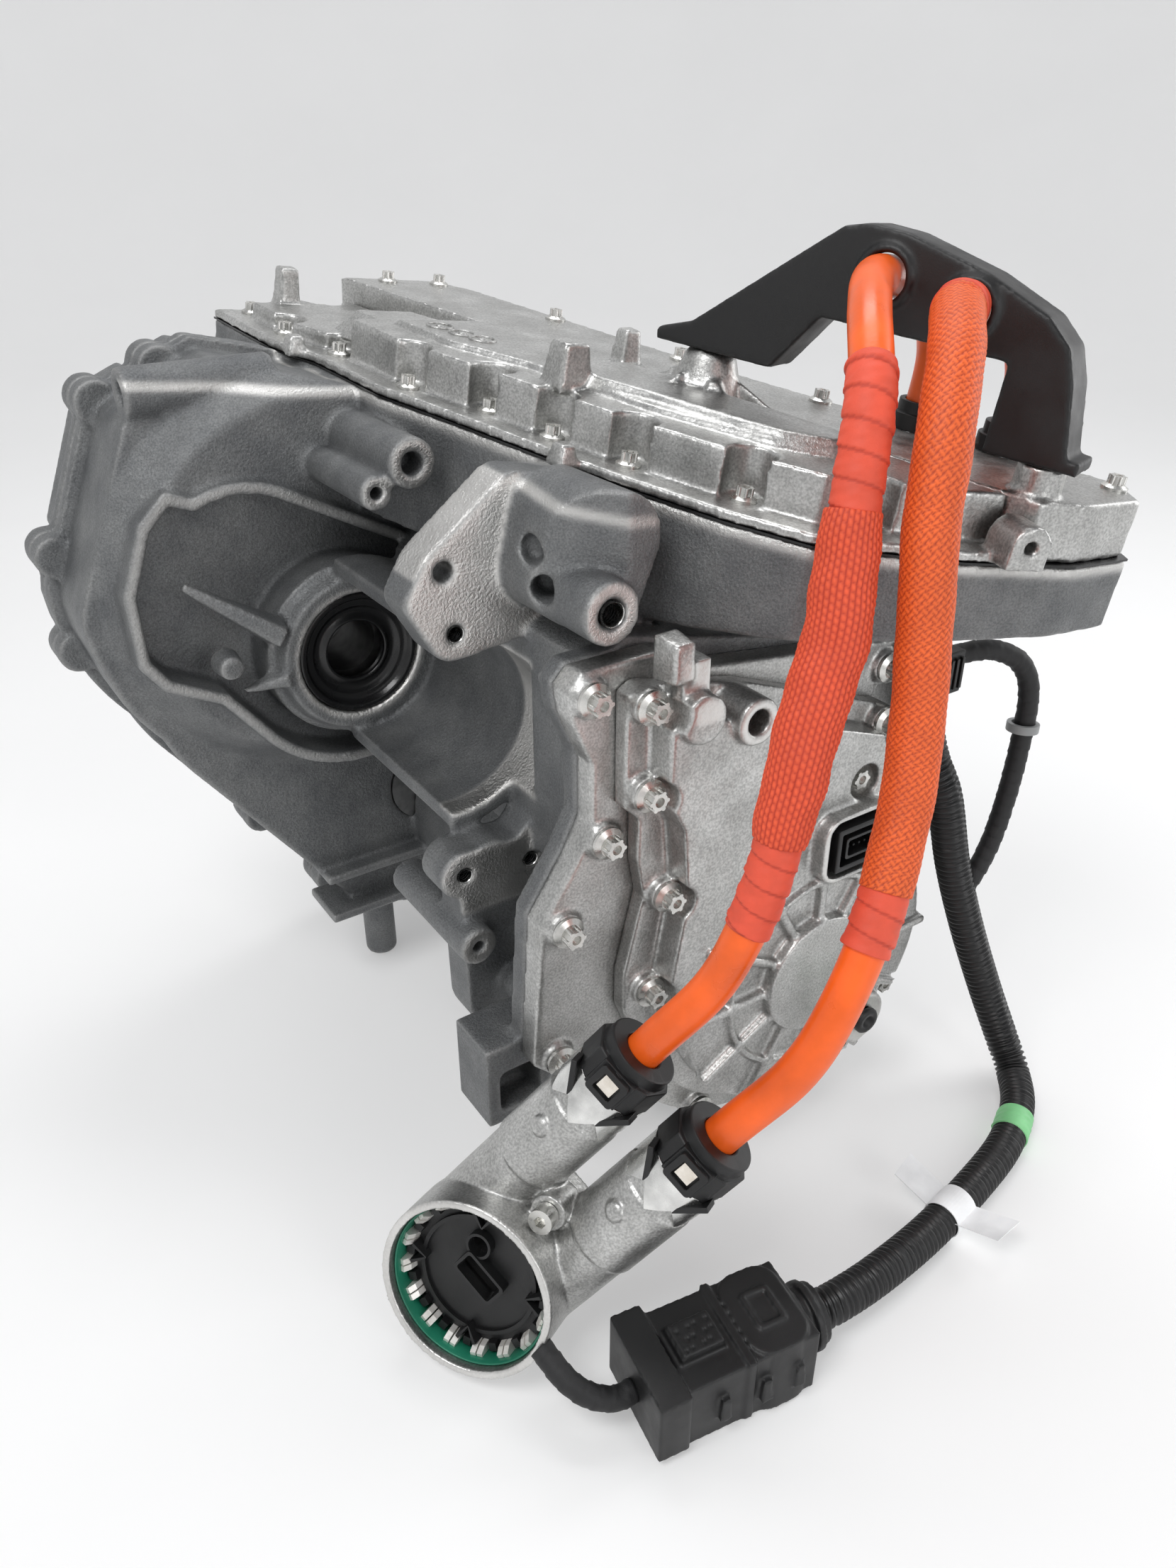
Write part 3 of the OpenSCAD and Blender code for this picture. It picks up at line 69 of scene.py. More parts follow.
# Faced bosses of the housing as x, z and front y; tray pillars as inverter x, and y from and to
FACED_BOSSES = [(-12, -112, -152), (14, -150, -176), (28, -118, -158), (13, 121, -62), (-6, 108, -58)]
TRAY_PILLARS = [(-58, 62, 92), (-48, 32, 62)]

# Sleeves, harness tube and floor, in millimetres and counts
KNIT_R = 10.6
KNIT_SLACK = 2.6
KNIT_RELIEF = 0.7
KNIT_COLUMNS = 32
KNIT_PITCH = 3.4
BRAID_R = 10.8
BRAID_RELIEF = 0.55
BRAID_STRANDS = 18
BRAID_PITCH = 3.2
RIDGE_PITCH = 3.4
RIDGE_H = 0.75
BRANCH_LAP = 7
FLAGS_AT = 400
FLOOR_R = 2200
SWEEP_R = 1400
WALL_TOP = 4000

# Camera in millimetres and degrees; lights as name, place and size in metres, and watts
CAMERA_AT = (-243, -597, 276)
CAMERA_TURN = (60, 0, -34)
LENS = 27.03
SENSOR_H = 36
AIM = (0.06, -0.12, -0.05)
LIGHTS = [("key", (-0.9, -0.5, 1.5), (0.8, 0.6), 15),
          ("top", (0.5, 0.4, 1.7), (1.1, 0.5), 12),
          ("front", (0.2, -1.9, 0.6), (0.5, 0.9), 5),
          ("right", (1.6, -0.5, 0.5), (0.4, 1.2), 6)]
SKY = (0.93, 0.95, 1.0)
SKY_STRENGTH = 0.30
FLOOR_GLOW = 0.30

# Turned shapes stop just short of their axis
CORE_R = 0.1

# How far worn edges turn bright, and how dark the painted shade in the hollows of a casting is
EDGE_WEAR = 0.2
HOLLOW_PAINTED_SHADE = 0.7


def at(x, y, z):
    return Vector((x, y, z)) * MM


def moved(x, y, z):
    return Matrix.Translation(at(x, y, z))


def turn(degrees, axis):
    return Matrix.Rotation(math.radians(degrees), 4, axis)


INVERTER = moved(60, 0, 145) @ turn(6, "Y") @ turn(5, "X")
BRACKET = INVERTER @ moved(*TOWER, 0) @ turn(-68.8, "Z") @ turn(90, "X")
SOCKET = moved(-73, -256, -212) @ turn(-148.3, "Z") @ turn(72.5, "Y") @ turn(145, "Z")
PLUG = moved(6, -343, FLOOR_Z) @ turn(171, "Z")
FRONT = turn(90, "X")

# Cord routes, in millimetres
LEFT_ROUTE = [(186.5, -204, 209.6), (164.5, -212.5, 211.2), (137, -238, 204), (110, -269, 180),
              (96, -281, 146), (89, -286, 119), (82, -291, 90), (68, -296, 60), (56, -301, 32),
              (46, -304, 2), (36, -303, -26), (24, -297, -56), (4.2, -282.6, -87.9),
              (-30.5, -258.3, -141)]
RIGHT_ROUTE = [(200.1, -240.7, 199.9), (178, -249.2, 201.5), (150, -274, 193), (128, -293, 168),
               (118, -301, 132), (114, -309, 90), (107, -318, 50), (94, -328, 16), (76, -337, -18),
               (56, -341, -52), (40, -337, -82), (18.4, -322, -115.2), (-16.3, -297.6, -168.3)]
STUB_LEFT = [(239.7, -182.3, 132.6), (242.8, -184.8, 162), (240, -186, 178), (230, -190, 195),
             (215, -194, 204), (199.9, -198.8, 208.7), (186.8, -203.8, 209.6)]
STUB_RIGHT = [(256.2, -224.1, 127.2), (259.3, -226.7, 156.6), (256, -228, 171), (245, -231, 186),
              (230, -233, 195), (213.4, -235.5, 199), (200.4, -240.6, 199.9)]
HARNESS_ROUTE = [(230, -223, 3.7), (230, -223, -12), (233, -230, -36), (240, -238, -60),
                 (250, -244, -105), (264, -251, -150), (278, -262, -195), (285, -276, -228),
                 (282, -292, -246), (262, -312, -248), (230, -328, -248), (190, -338, -248),
                 (145, -346, -247), (100, -352, -241), (69.2, -353, -238), (54.4, -350.7, -238)]
BRANCH_ROUTE = [(241.3, -222, 18), (252, -222, 18), (270, -230, 19), (286, -238, 10), (292, -243, -10),
                (288, -246, -50), (280, -248, -85), (271, -249, -106), (260, -249, -122)]
PIGTAIL_ROUTE = [(-41.4, -335.5, -236), (-51.3, -333.9, -236), (-62, -328, -231), (-68, -318, -226),
                 (-71, -303, -220)]


# Camera, lights and floor
def make_camera():
    data = bpy.data.cameras.new("camera")
    data.sensor_fit = "VERTICAL"
    data.sensor_height = SENSOR_H
    data.lens = LENS
    data.clip_start = 0.01
    camera = bpy.data.objects.new("camera", data)
    camera.location = at(*CAMERA_AT)
    camera.rotation_euler = [math.radians(degrees) for degrees in CAMERA_TURN]
    scene.collection.objects.link(camera)
    scene.camera = camera


def area_light(name, place, size, watts):
    data = bpy.data.lights.new(name, "AREA")
    data.shape = "RECTANGLE"
    data.size, data.size_y = size
    data.energy = watts
    light = bpy.data.objects.new(name, data)
    light.location = place
    light.rotation_euler = (Vector(AIM) - Vector(place)).to_track_quat("-Z", "Y").to_euler()
    scene.collection.objects.link(light)


def make_studio():
    scene.view_settings.view_transform = "Standard"
    world = bpy.data.worlds.new("studio")
    world.use_nodes = True
    sky = world.node_tree.nodes["Background"]
    sky.inputs["Color"].default_value = (*SKY, 1)
    sky.inputs["Strength"].default_value = SKY_STRENGTH
    scene.world = world
    for light in LIGHTS:
        area_light(*light)


# Materials
def shader(name, colour, metallic, roughness):
    made = bpy.data.materials.new(name)
    made.use_nodes = True
    bsdf = made.node_tree.nodes["Principled BSDF"]
    bsdf.inputs["Base Color"].default_value = (*colour, 1)
    bsdf.inputs["Metallic"].default_value = metallic
    bsdf.inputs["Roughness"].default_value = roughness
    return made


def node_of(made, kind, **values):
    node = made.node_tree.nodes.new(kind)
    for key, value in values.items():
        if key in node.inputs:
            node.inputs[key].default_value = value
        else:
            setattr(node, key, value)
    return node


def wire(made, source, target):
    made.node_tree.links.new(source, target)


def noise_of(made, scale, detail=4.0, stretch=None):
    coords = node_of(made, "ShaderNodeTexCoord")
    noise = node_of(made, "ShaderNodeTexNoise", Scale=scale, Detail=detail)
    source = coords.outputs["Object"]
    if stretch:
        mapping = node_of(made, "ShaderNodeMapping", Scale=stretch)
        wire(made, source, mapping.inputs["Vector"])
        source = mapping.outputs["Vector"]
    wire(made, source, noise.inputs["Vector"])
    return noise.outputs["Fac"]


def ramp_of(made, factor, low, high, start=0.3, end=0.7):
    ramp = node_of(made, "ShaderNodeValToRGB")
    ramp.color_ramp.elements[0].position = start
    ramp.color_ramp.elements[0].color = (*low, 1)
    ramp.color_ramp.elements[1].position = end
    ramp.color_ramp.elements[1].color = (*high, 1)
    wire(made, factor, ramp.inputs["Fac"])
    return ramp.outputs["Color"]


def bump_of(made, height, strength, depth, below=None):
    bump = node_of(made, "ShaderNodeBump", Strength=strength, Distance=depth)
    wire(made, height, bump.inputs["Height"])
    if below:
        wire(made, below, bump.inputs["Normal"])
    return bump.outputs["Normal"]


def bsdf_of(made):
    return made.node_tree.nodes["Principled BSDF"]


def mottled(made, low, high, scale):
    """Colour that wanders between two shades."""
    wire(made, ramp_of(made, noise_of(made, scale, 6), low, high), bsdf_of(made).inputs["Base Color"])


def grained(made, scale, strength, depth):
    """Fine grain in the surface."""
    wire(made, bump_of(made, noise_of(made, scale, 3), strength, depth), bsdf_of(made).inputs["Normal"])


def roughness_between(made, low, high, scale):
    rough = ramp_of(made, noise_of(made, scale, 5), (low,) * 3, (high,) * 3)
    wire(made, rough, bsdf_of(made).inputs["Roughness"])


def attribute_of(made, name):
    return node_of(made, "ShaderNodeAttribute", attribute_name=name).outputs["Fac"]


def mixed(made, factor, first, second):
    """Mix of two colours, each a socket or a plain colour."""
    mix = node_of(made, "ShaderNodeMix", data_type="RGBA")
    factor_in, first_in, second_in = mix.inputs[0], mix.inputs[6], mix.inputs[7]
    wire(made, factor, factor_in)
    for given, socket in ((first, first_in), (second, second_in)):
        if isinstance(given, tuple):
            socket.default_value = (*given, 1)
        else:
            wire(made, given, socket)
    return mix.outputs[2]


def casting_finish(name, low, high, metallic, rough, grain):
    """Cast skin that turns to bright machined metal where the mesh says so, and takes painted shade in
    its hollows.
    """
    made = shader(name, high, metallic, rough[1])
    cut = attribute_of(made, "machined")
    patches = noise_of(made, 45, 8)
    dark = ramp_of(made, patches, tuple(0.8 * c for c in low), tuple(0.8 * c for c in high), 0.25, 0.75)
    light = ramp_of(made, patches, tuple(1.2 * c for c in low), tuple(1.2 * c for c in high), 0.25, 0.75)
    specks = ramp_of(made, noise_of(made, 1.6 * grain[0], 2), (0,) * 3, (1,) * 3, 0.35, 0.65)
    skin = mixed(made, specks, dark, light)
    # painted shade: hollows of the casting turn darker, towards 0.45 of the low colour
    skin = mixed(made, attribute_of(made, "hollow_painted_shade"), skin, tuple(0.45 * c for c in low))
    bright = ramp_of(made, noise_of(made, 40, 5), (0.62, 0.61, 0.59), (0.80, 0.79, 0.77))
    wire(made, mixed(made, cut, skin, bright), bsdf_of(made).inputs["Base Color"])
    dull = ramp_of(made, noise_of(made, 80, 5), (rough[0],) * 3, (rough[1],) * 3)
    shine = ramp_of(made, noise_of(made, 50, 4), (0.26,) * 3, (0.38,) * 3)
    wire(made, mixed(made, cut, dull, shine), bsdf_of(made).inputs["Roughness"])
    metal = node_of(made, "ShaderNodeMapRange")
    metal.inputs["To Min"].default_value = metallic
    metal.inputs["To Max"].default_value = 1.0
    wire(made, cut, metal.inputs["Value"])
    wire(made, metal.outputs["Result"], bsdf_of(made).inputs["Metallic"])
    coarse = bump_of(made, noise_of(made, grain[0], 3), grain[1], 0.0012)
    fine = bump_of(made, noise_of(made, grain[0] * 4, 2), grain[1], 0.0003, coarse)
    wire(made, fine, bsdf_of(made).inputs["Normal"])
    return made


def cloth_finish(name, dark, light, roughness):
    """Woven or knitted cloth with painted shade: the gaps between the strands are darker."""
    made = shader(name, light, 0, roughness)
    height = attribute_of(made, "relief_painted_shade")
    shade = ramp_of(made, noise_of(made, 90, 4), tuple(0.82 * c for c in light), light)
    # painted shade: colour goes to the dark shade where the relief is low, between strands and along
    # tape laps
    wire(made, mixed(made, height, dark, shade), bsdf_of(made).inputs["Base Color"])
    grained(made, 2400, 0.35, 0.0004)
    return made


def plastic_finish(name, colour, roughness, grain=1500):
    made = shader(name, colour, 0, roughness)
    mottled(made, tuple(0.75 * c for c in colour), tuple(1.2 * c for c in colour), 30)
    roughness_between(made, roughness - 0.08, roughness + 0.1, 60)
    grained(made, grain, 0.2, 0.0003)
    return made


def metal_finish(name, low, high, rough, scale):
    made = shader(name, high, 1, rough[1])
    mottled(made, low, high, scale)
    roughness_between(made, rough[0], rough[1], scale * 2)
    grained(made, 1200, 0.12, 0.0003)
    return made


CAST_GREY = casting_finish("cast_grey", (0.120, 0.125, 0.130), (0.200, 0.205, 0.205), 0.55,
                           rough=(0.44, 0.60), grain=(650, 0.42))
CAST_SILVER = casting_finish("cast_silver", (0.36, 0.36, 0.35), (0.55, 0.55, 0.54), 0.95,
                             rough=(0.30, 0.46), grain=(520, 0.16))
MACHINED = metal_finish("machined", (0.58, 0.58, 0.57), (0.80, 0.80, 0.78), (0.18, 0.32), 140)
ZINC = metal_finish("zinc_plate", (0.52, 0.52, 0.50), (0.74, 0.73, 0.70), (0.22, 0.38), 160)
DARK_STEEL = metal_finish("dark_steel", (0.20, 0.20, 0.20), (0.34, 0.34, 0.34), (0.28, 0.42), 120)
NICKEL = metal_finish("nickel", (0.62, 0.56, 0.48), (0.86, 0.82, 0.75), (0.14, 0.26), 200)
SPRING = metal_finish("spring_tin", (0.80, 0.77, 0.72), (0.95, 0.93, 0.90), (0.30, 0.42), 200)
bsdf_of(SPRING).inputs["Metallic"].default_value = 0.5
COPPER = metal_finish("copper", (0.62, 0.28, 0.14), (0.80, 0.42, 0.24), (0.25, 0.4), 120)
BLACK = plastic_finish("black_plastic", (0.006, 0.006, 0.0065), 0.46)
BLACK_GLOSS = plastic_finish("black_rubber", (0.004, 0.004, 0.0045), 0.24)
TUBE_BLACK = plastic_finish("corrugated_black", (0.006, 0.006, 0.0065), 0.38)
ORANGE = plastic_finish("orange_jacket", (0.90, 0.125, 0.010), 0.34, 500)
BRAID = cloth_finish("orange_braid", (0.36, 0.030, 0.006), (0.93, 0.150, 0.022), 0.55)
KNIT = cloth_finish("red_knit", (0.46, 0.034, 0.012), (0.88, 0.110, 0.034), 0.60)
TAPE = cloth_finish("red_tape", (0.38, 0.028, 0.014), (0.78, 0.090, 0.042), 0.58)
BLACK_TAPE = cloth_finish("black_tape", (0.003, 0.003, 0.003), (0.012, 0.012, 0.013), 0.6)
GREEN_RUBBER = plastic_finish("green_rubber", (0.012, 0.17, 0.10), 0.36)
GREEN_TAPE = plastic_finish("green_tape", (0.22, 0.60, 0.26), 0.5, 700)
LABEL = plastic_finish("white_label", (0.84, 0.85, 0.86), 0.5, 300)
GREY_PLASTIC = plastic_finish("grey_plastic", (0.30, 0.31, 0.31), 0.45)
BOARD = plastic_finish("green_board", (0.02, 0.12, 0.05), 0.35)
FLOOR = shader("pale_floor", (0.62, 0.62, 0.62), 0, 0.8)
mottled(FLOOR, (0.61, 0.61, 0.61), (0.63, 0.63, 0.63), 3)
bsdf_of(FLOOR).inputs["Emission Color"].default_value = (1, 1, 1, 1)
bsdf_of(FLOOR).inputs["Emission Strength"].default_value = FLOOR_GLOW


# Mesh helpers
def new_piece(name, verts, faces, material, smooth=True):
    mesh = bpy.data.meshes.new(name)
    mesh.from_pydata([tuple(v) for v in verts], [], faces)
    mesh.materials.append(material)
    mesh.polygons.foreach_set("use_smooth", [smooth] * len(mesh.polygons))
    mesh.update()
    piece = bpy.data.objects.new(name, mesh)
    scene.collection.objects.link(piece)
    return piece


def ride(piece):
    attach(piece, "housing")
    return piece


def revolved(profile, place, steps=48, closed=True):
    """Vertices and faces of (radius, height) pairs, in millimetres, turned about the place's own Z."""
    verts = []
    for k in range(steps):
        a = 2 * math.pi * k / steps
        verts += [place @ at(r * math.cos(a), r * math.sin(a), h) for r, h in profile]
    n = len(profile)
    rows = n if closed else n - 1
    faces = []
    for k in range(steps):
        a, b = k * n, (k + 1) % steps * n
        faces += [(a + i, b + i, b + (i + 1) % n, a + (i + 1) % n) for i in range(rows)]
    return verts, faces


def shrunk(outline, margin):
    """An outline drawn in towards its middle."""
    middle = sum((Vector(p) for p in outline), Vector((0, 0))) / len(outline)
    return [tuple(Vector(p) + (middle - Vector(p)).normalized() * margin) for p in outline]


def prism(outline, place, low, high, lean=0):
    """Vertices and faces of an outline, in millimetres, between two heights of the place's frame."""
    n = len(outline)
    top = shrunk(outline, lean) if lean else outline
    verts = [place @ at(x, y, low) for x, y in outline] + [place @ at(x, y, high) for x, y in top]
    faces = [tuple(range(n - 1, -1, -1)), tuple(range(n, 2 * n))]
    faces += [(i, (i + 1) % n, n + (i + 1) % n, n + i) for i in range(n)]
    return verts, faces


def block(place, low, high, lean=0):
    corners = [(low[0], low[1]), (high[0], low[1]), (high[0], high[1]), (low[0], high[1])]
    return prism(corners, place, low[2], high[2], lean)


def joined(*shapes):
    verts, faces = [], []
    for v, f in shapes:
        faces += [tuple(i + len(verts) for i in face) for face in f]
        verts += v
    return verts, faces


def rounded_box(width, height, corner, steps=6):
    """Outline of a rectangle with round corners."""
    outline = []
    for k, (sx, sy) in enumerate([(1, 1), (-1, 1), (-1, -1), (1, -1)]):
        for i in range(steps + 1):
            a = math.pi / 2 * (k + i / steps)
            outline.append((sx * (width / 2 - corner) + corner * math.cos(a),
                            sy * (height / 2 - corner) + corner * math.sin(a)))
    return outline


def frame_of(outer, inner, place, low, high):
    """Closed ring between two outlines of as many points."""
    n = len(outer)
    verts = []
    for loop, z in ((outer, low), (outer, high), (inner, high), (inner, low)):
        verts += [place @ at(x, y, z) for x, y in loop]
    faces = []
    for k in range(4):
        a, b = k * n, (k + 1) % 4 * n
        faces += [(a + i, a + (i + 1) % n, b + (i + 1) % n, b + i) for i in range(n)]
    return verts, faces


def holed(outline, radius, depth, place, low, high):
    """A prism with a blind round hole in its upper face."""
    n = len(outline)
    angles = [math.atan2(y, x) for x, y in outline]
    ring = [(radius * math.cos(a), radius * math.sin(a)) for a in angles]
    verts = []
    for loop, z in ((outline, low), (outline, high), (ring, high), (ring, high - depth)):
        verts += [place @ at(x, y, z) for x, y in loop]
    faces = [tuple(range(n - 1, -1, -1)), tuple(range(3 * n, 4 * n))]
    for k in range(3):
        a, b = k * n, (k + 1) * n
        faces += [(a + i, a + (i + 1) % n, b + (i + 1) % n, b + i) for i in range(n)]
    return verts, faces


def rib(place, length, width, start, end):
    """A cast rib along the place's X axis, whose height goes from start to end."""
    half = width / 2
    tip = 0.35 * half
    top = 0.6 * half
    corners = [(0, -tip, -2), (length, -half, -2), (length, half, -2), (0, tip, -2),
               (0, -0.6 * tip, start), (length, -top, end), (length, top, end), (0, 0.6 * tip, start)]
    faces = [(3, 2, 1, 0), (4, 5, 6, 7), (0, 1, 5, 4), (1, 2, 6, 5), (2, 3, 7, 6), (3, 0, 4, 7)]
    return [place @ at(*c) for c in corners], faces


def thread(place, radius, depth, pitch=1.5):
    """Ridged wall of a threaded hole, going down from the place."""
    profile = []
    for k in range(int(depth / pitch)):
        profile += [(radius - 0.05, -k * pitch), (radius - 0.75, -(k + 0.5) * pitch)]
    return revolved(profile, place, 28, False)


def facing_front(x, y, z):
    """A place on the front of the unit, with its own Z towards the viewer."""
    return moved(x, y, z) @ FRONT


def bevelled(piece, width, segments=2):
    bevel = piece.modifiers.new("bevel", "BEVEL")
    bevel.width = width * MM
    bevel.segments = segments
    bevel.limit_method = "ANGLE"
    bevel.angle_limit = math.radians(35)
    normals = piece.modifiers.new("normals", "WEIGHTED_NORMAL")
    normals.keep_sharp = True
    return piece


def dress(node, material, bevel=0.0):
    """Give a solid its finish, and round its edges a little."""
    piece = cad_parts[node]
    piece.data.materials.clear()
    piece.data.materials.append(material)
    if bevel:
        weld = piece.modifiers.new("weld", "WELD")
        weld.merge_threshold = 0.02 * MM
        bevelled(piece, bevel)
    return piece


def make_floor():
    """Pale floor that sweeps up into a round backdrop."""
    low = FLOOR_Z - 0.5
    profile = [(CORE_R, low)]
    for degrees in range(0, 91, 6):
        a = math.radians(degrees)
        profile.append((FLOOR_R + SWEEP_R * math.sin(a), low + SWEEP_R * (1 - math.cos(a))))
    profile.append((FLOOR_R + SWEEP_R, WALL_TOP))
    new_piece("floor", *revolved(profile, Matrix(), 96, False), FLOOR)


# Castings: the solid with small cast details, rounded all over
def blurred(values, pairs, rounds):
    """Values at the vertices, evened out along the edges."""
    count = len(values)
    degree = np.maximum(np.bincount(pairs.ravel(), minlength=count), 1)
    for _ in range(rounds):
        total = np.bincount(pairs[:, 0], values[pairs[:, 1]], count)
        total += np.bincount(pairs[:, 1], values[pairs[:, 0]], count)
        values = 0.5 * values + 0.5 * total / degree
    return values


def standing_out(place, facing, pairs):
    """How far each vertex stands above the surface around it, in millimetres."""
    around = np.stack([blurred(place[:, i], pairs, 8) for i in range(3)], axis=1)
    return ((place - around) * facing).sum(axis=1)


def keep_values(mesh, name, values):
    mark = mesh.attributes.new(name, "FLOAT", "POINT")
    mark.data.foreach_set("value", values.astype(float))


def detailed(node, details):
    """Mesh of a solid with its cast details set into it."""
    work = bmesh.new()
    work.from_mesh(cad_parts[node].data)
    for verts, faces in details:
        made = [work.verts.new(v) for v in verts]
        for face in faces:
            work.faces.new([made[i] for i in face])
    bmesh.ops.remove_doubles(work, verts=work.verts, dist=0.005 * MM)
    bmesh.ops.recalc_face_normals(work, faces=work.faces)
    mesh = bpy.data.meshes.new(node + "_casting")
    work.to_mesh(mesh)
    work.free()
    return mesh


def round_over(piece, voxel, rounds):
    """Melt a piece's shapes together and round every edge; gives its new mesh."""
    remesh = piece.modifiers.new("remesh", "REMESH")
    remesh.mode = "VOXEL"
    remesh.voxel_size = voxel * MM * 1
    smooth = piece.modifiers.new("smooth", "SMOOTH")
    smooth.factor = 0.5
    smooth.iterations = rounds
    scene.view_layers[0].update()
    solid = piece.evaluated_get(bpy.context.evaluated_depsgraph_get())
    rounded = bpy.data.meshes.new_from_object(solid)
    piece.modifiers.clear()
    piece.data = rounded
    return rounded


def vectors_of(mesh, name):
    values = np.empty(3 * len(mesh.vertices))
    mesh.vertices.foreach_get(name, values)
    return values.reshape(-1, 3)


def mark_faces(mesh, machined):
    """Keep on the mesh where it is machined or worn, and the painted shade of its hollows."""
    place = vectors_of(mesh, "co") / MM
    facing = vectors_of(mesh, "normal")
    pairs = np.empty(2 * len(mesh.edges), dtype=int)
    mesh.edges.foreach_get("vertices", pairs)
    pairs = pairs.reshape(-1, 2)
    proud = standing_out(place, facing, pairs)
    worn = EDGE_WEAR * np.clip((proud - 0.3) / 0.5, 0, 1)
    cut = blurred(machined(place, facing), pairs, 2)
    keep_values(mesh, "machined", np.maximum(cut, worn))
    # painted shade: the deeper a vertex lies below the surface around it, the darker it is painted
    keep_values(mesh, "hollow_painted_shade", HOLLOW_PAINTED_SHADE * np.clip((-proud - 0.25) / 0.6, 0, 1))


def casting(node, material, voxel, rounds, details, machined):
    """Copy a solid, add details, round every edge and mark the machined faces."""
    piece = bpy.data.objects.new(node + "_casting", detailed(node, details))
    scene.collection.objects.link(piece)
    mesh = round_over(piece, voxel, rounds)
    mesh.materials.clear()
    mesh.materials.append(material)
    mesh.polygons.foreach_set("use_smooth", [True] * len(mesh.polygons))
    mark_faces(mesh, machined)
    ride(piece)
    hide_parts(node)


def near(values, target, width=0.7):
    return np.abs(values - target) < width


def from_centre(place, centre):
    return np.hypot(place[:, 0] - centre[0], place[:, 2] - centre[1])


def local_to(home, place):
    """Points, in millimetres, as they lie in the frame of a place."""
    back = np.array(home.inverted())
    return (place * MM) @ back[:3, :3].T / MM + back[:3, 3] / MM


def housing_machined(place, facing):
    """Saddle, seal bore, faced bosses, pillars and joint face of the main housing."""
    x, y, z = place.T
    front = facing[:, 1] < -0.85
    radius = np.hypot(x, z)
    across, along, up = local_to(INVERTER, place).T
    cut = near(y, SADDLE_Y) & front & (z > -97)
    cut |= near(radius, SADDLE_R, 1.0) & (y > SADDLE_Y - 2) & (y < SADDLE_Y + 34) & (x > -45)
    cut |= near(y, MOUNT_FACE_Y) & front & (from_centre(place, MOUNT_BOSS) < 16)
    cut |= near(y, -2) & front & (radius < 39.5)
    cut |= near(radius, SEAL_R, 1.2) & (y > -3) & (y < 12)
    for boss_x, boss_z, face_y in FACED_BOSSES:
        cut |= near(y, face_y) & front & (from_centre(place, (boss_x, boss_z)) < 14)
    for face_x, start, end in TRAY_PILLARS:
        cut |= near(across, face_x, 1.2) & (along > start) & (along < end) & (up > -46)
    cut |= near(y, JOINT_Y, 0.8) & (facing[:, 1] > 0.85)
    cut |= (y > -139) & (y < -117) & (z > 92) & (x < 20) & (facing[:, 0] < -0.3)
    worn = near(y, TUB_Y, 0.9) & front
    rim = np.where(along < 35, np.clip(1.4 - np.abs(up + 8.5) / 2.0, 0, 0.8), 0)
    return np.maximum(np.where(cut, 1.0, np.where(worn, 0.42, 0.0)), rim)


def cover_machined(place, facing):
    """Faced bosses of the end cover."""
    x, y, z = place.T
    front = facing[:, 1] < -0.8
    faced = near(y, COVER_Y, 1.2) & front
    cut = (from_centre(place, COVER_EYE) < 12.5) & faced
    cut |= (from_centre(place, COVER_PLUG) < 17.5) & faced
    cut |= (x > 51) & (x < 69) & (z > 39) & (z < 67) & (y < -233) & front
    cut |= (y < -243.6) & (z > -90) & front
    return np.where(cut, 0.8, 0.0)


def head_machined(place, facing):
    """Turned lip of the connector's socket."""
    across, along, up = local_to(SOCKET, place).T
    return np.where(near(up, 22, 0.9) & (np.hypot(across, along) < 46), 0.7, 0.0)


def plain(place, facing):
    """No machined face at all."""
    return np.zeros(len(place))


def cover_details():
    """Steps, posts, lugs and the bracket tower of the inverter cover."""
    tower = INVERTER @ moved(*TOWER, 22)
    middle = [(-10, 40), (-8, 20), (-5, -10), (17, -57), (25, -105), (39, -150), (64, -205), (85, -225),
              (113, -225), (46, 40)]
    ramp = [(-26, 86), (-24, 40), (44, 40), (33, 86)]
    high = [(22, -70), (29, -105), (43, -150), (67, -204), (86, -221), (108, -221), (70, -70)]
    arch = [(-10, -10), (10, -10)]
    for degrees in range(0, 181, 15):
        a = math.radians(degrees)
        arch.append((10 * math.cos(a), 10 * math.sin(a)))
    nose = INVERTER @ moved(131, -290, 6) @ turn(-18.1, "Z") @ FRONT
    shapes = [prism(ramp, INVERTER, 7, 21.5, 16),
              prism(middle, INVERTER, 20, 25.5, 6),
              prism(high, INVERTER, 24, 29.5, 6),
              block(INVERTER, (-31, 148, 7), (-17, 162, 29.5), 2),
              block(INVERTER, (12, -102, 20), (32, -82, 43), 4),
              block(INVERTER, (-56, 70, -4), (-44, 84, 7), 3),
              block(INVERTER, (-10, -142, -4), (2, -128, 7), 3),
              holed(arch, 3.4, 12, nose, -8, 13),
              revolved([(CORE_R, -3), (21, -3), (12.5, 22), (CORE_R, 22)], tower)]
    return shapes + [rib(tower @ turn(a, "Z"), 40, 6, 20, 1) for a in (100, 180, 250, 300)]


def end_details():
    """Pocket rim, ring rib and lifting tab of the end cover."""
    rim = facing_front(POCKET[0], -240, POCKET[1])
    return [frame_of(rounded_box(54, 40, 12), rounded_box(45, 35, 8), rim, -4, 5),
            revolved([(57, -2), (62, -2), (61, 4), (58, 4)], facing_front(HUB[0], -236, HUB[1]), 72),
            block(facing_front(52, -220, 56), (-7, 0, 0), (6, 22, 16), 2)]


def tub_details():
    """Ribs and the stub boss on the floor of the tub."""
    return [rib(facing_front(-92, 8, 57) @ turn(-37, "Z"), 58, 18, 1, 17),
            rib(facing_front(-68, 8, -10) @ turn(12, "Z"), 24, 12, 1, 13),
            revolved([(CORE_R, -2), (8.5, -2), (6.5, 14), (CORE_R, 14)], facing_front(-76, 8, 10.5))]


def pipe_place(side, run=0):
    """A place on the axis of one of the connector's two pipes, with its own Z along the pipe."""
    return SOCKET @ moved(run, side * PIPE_PITCH / 2, PIPE_Z) @ turn(90, "Y")


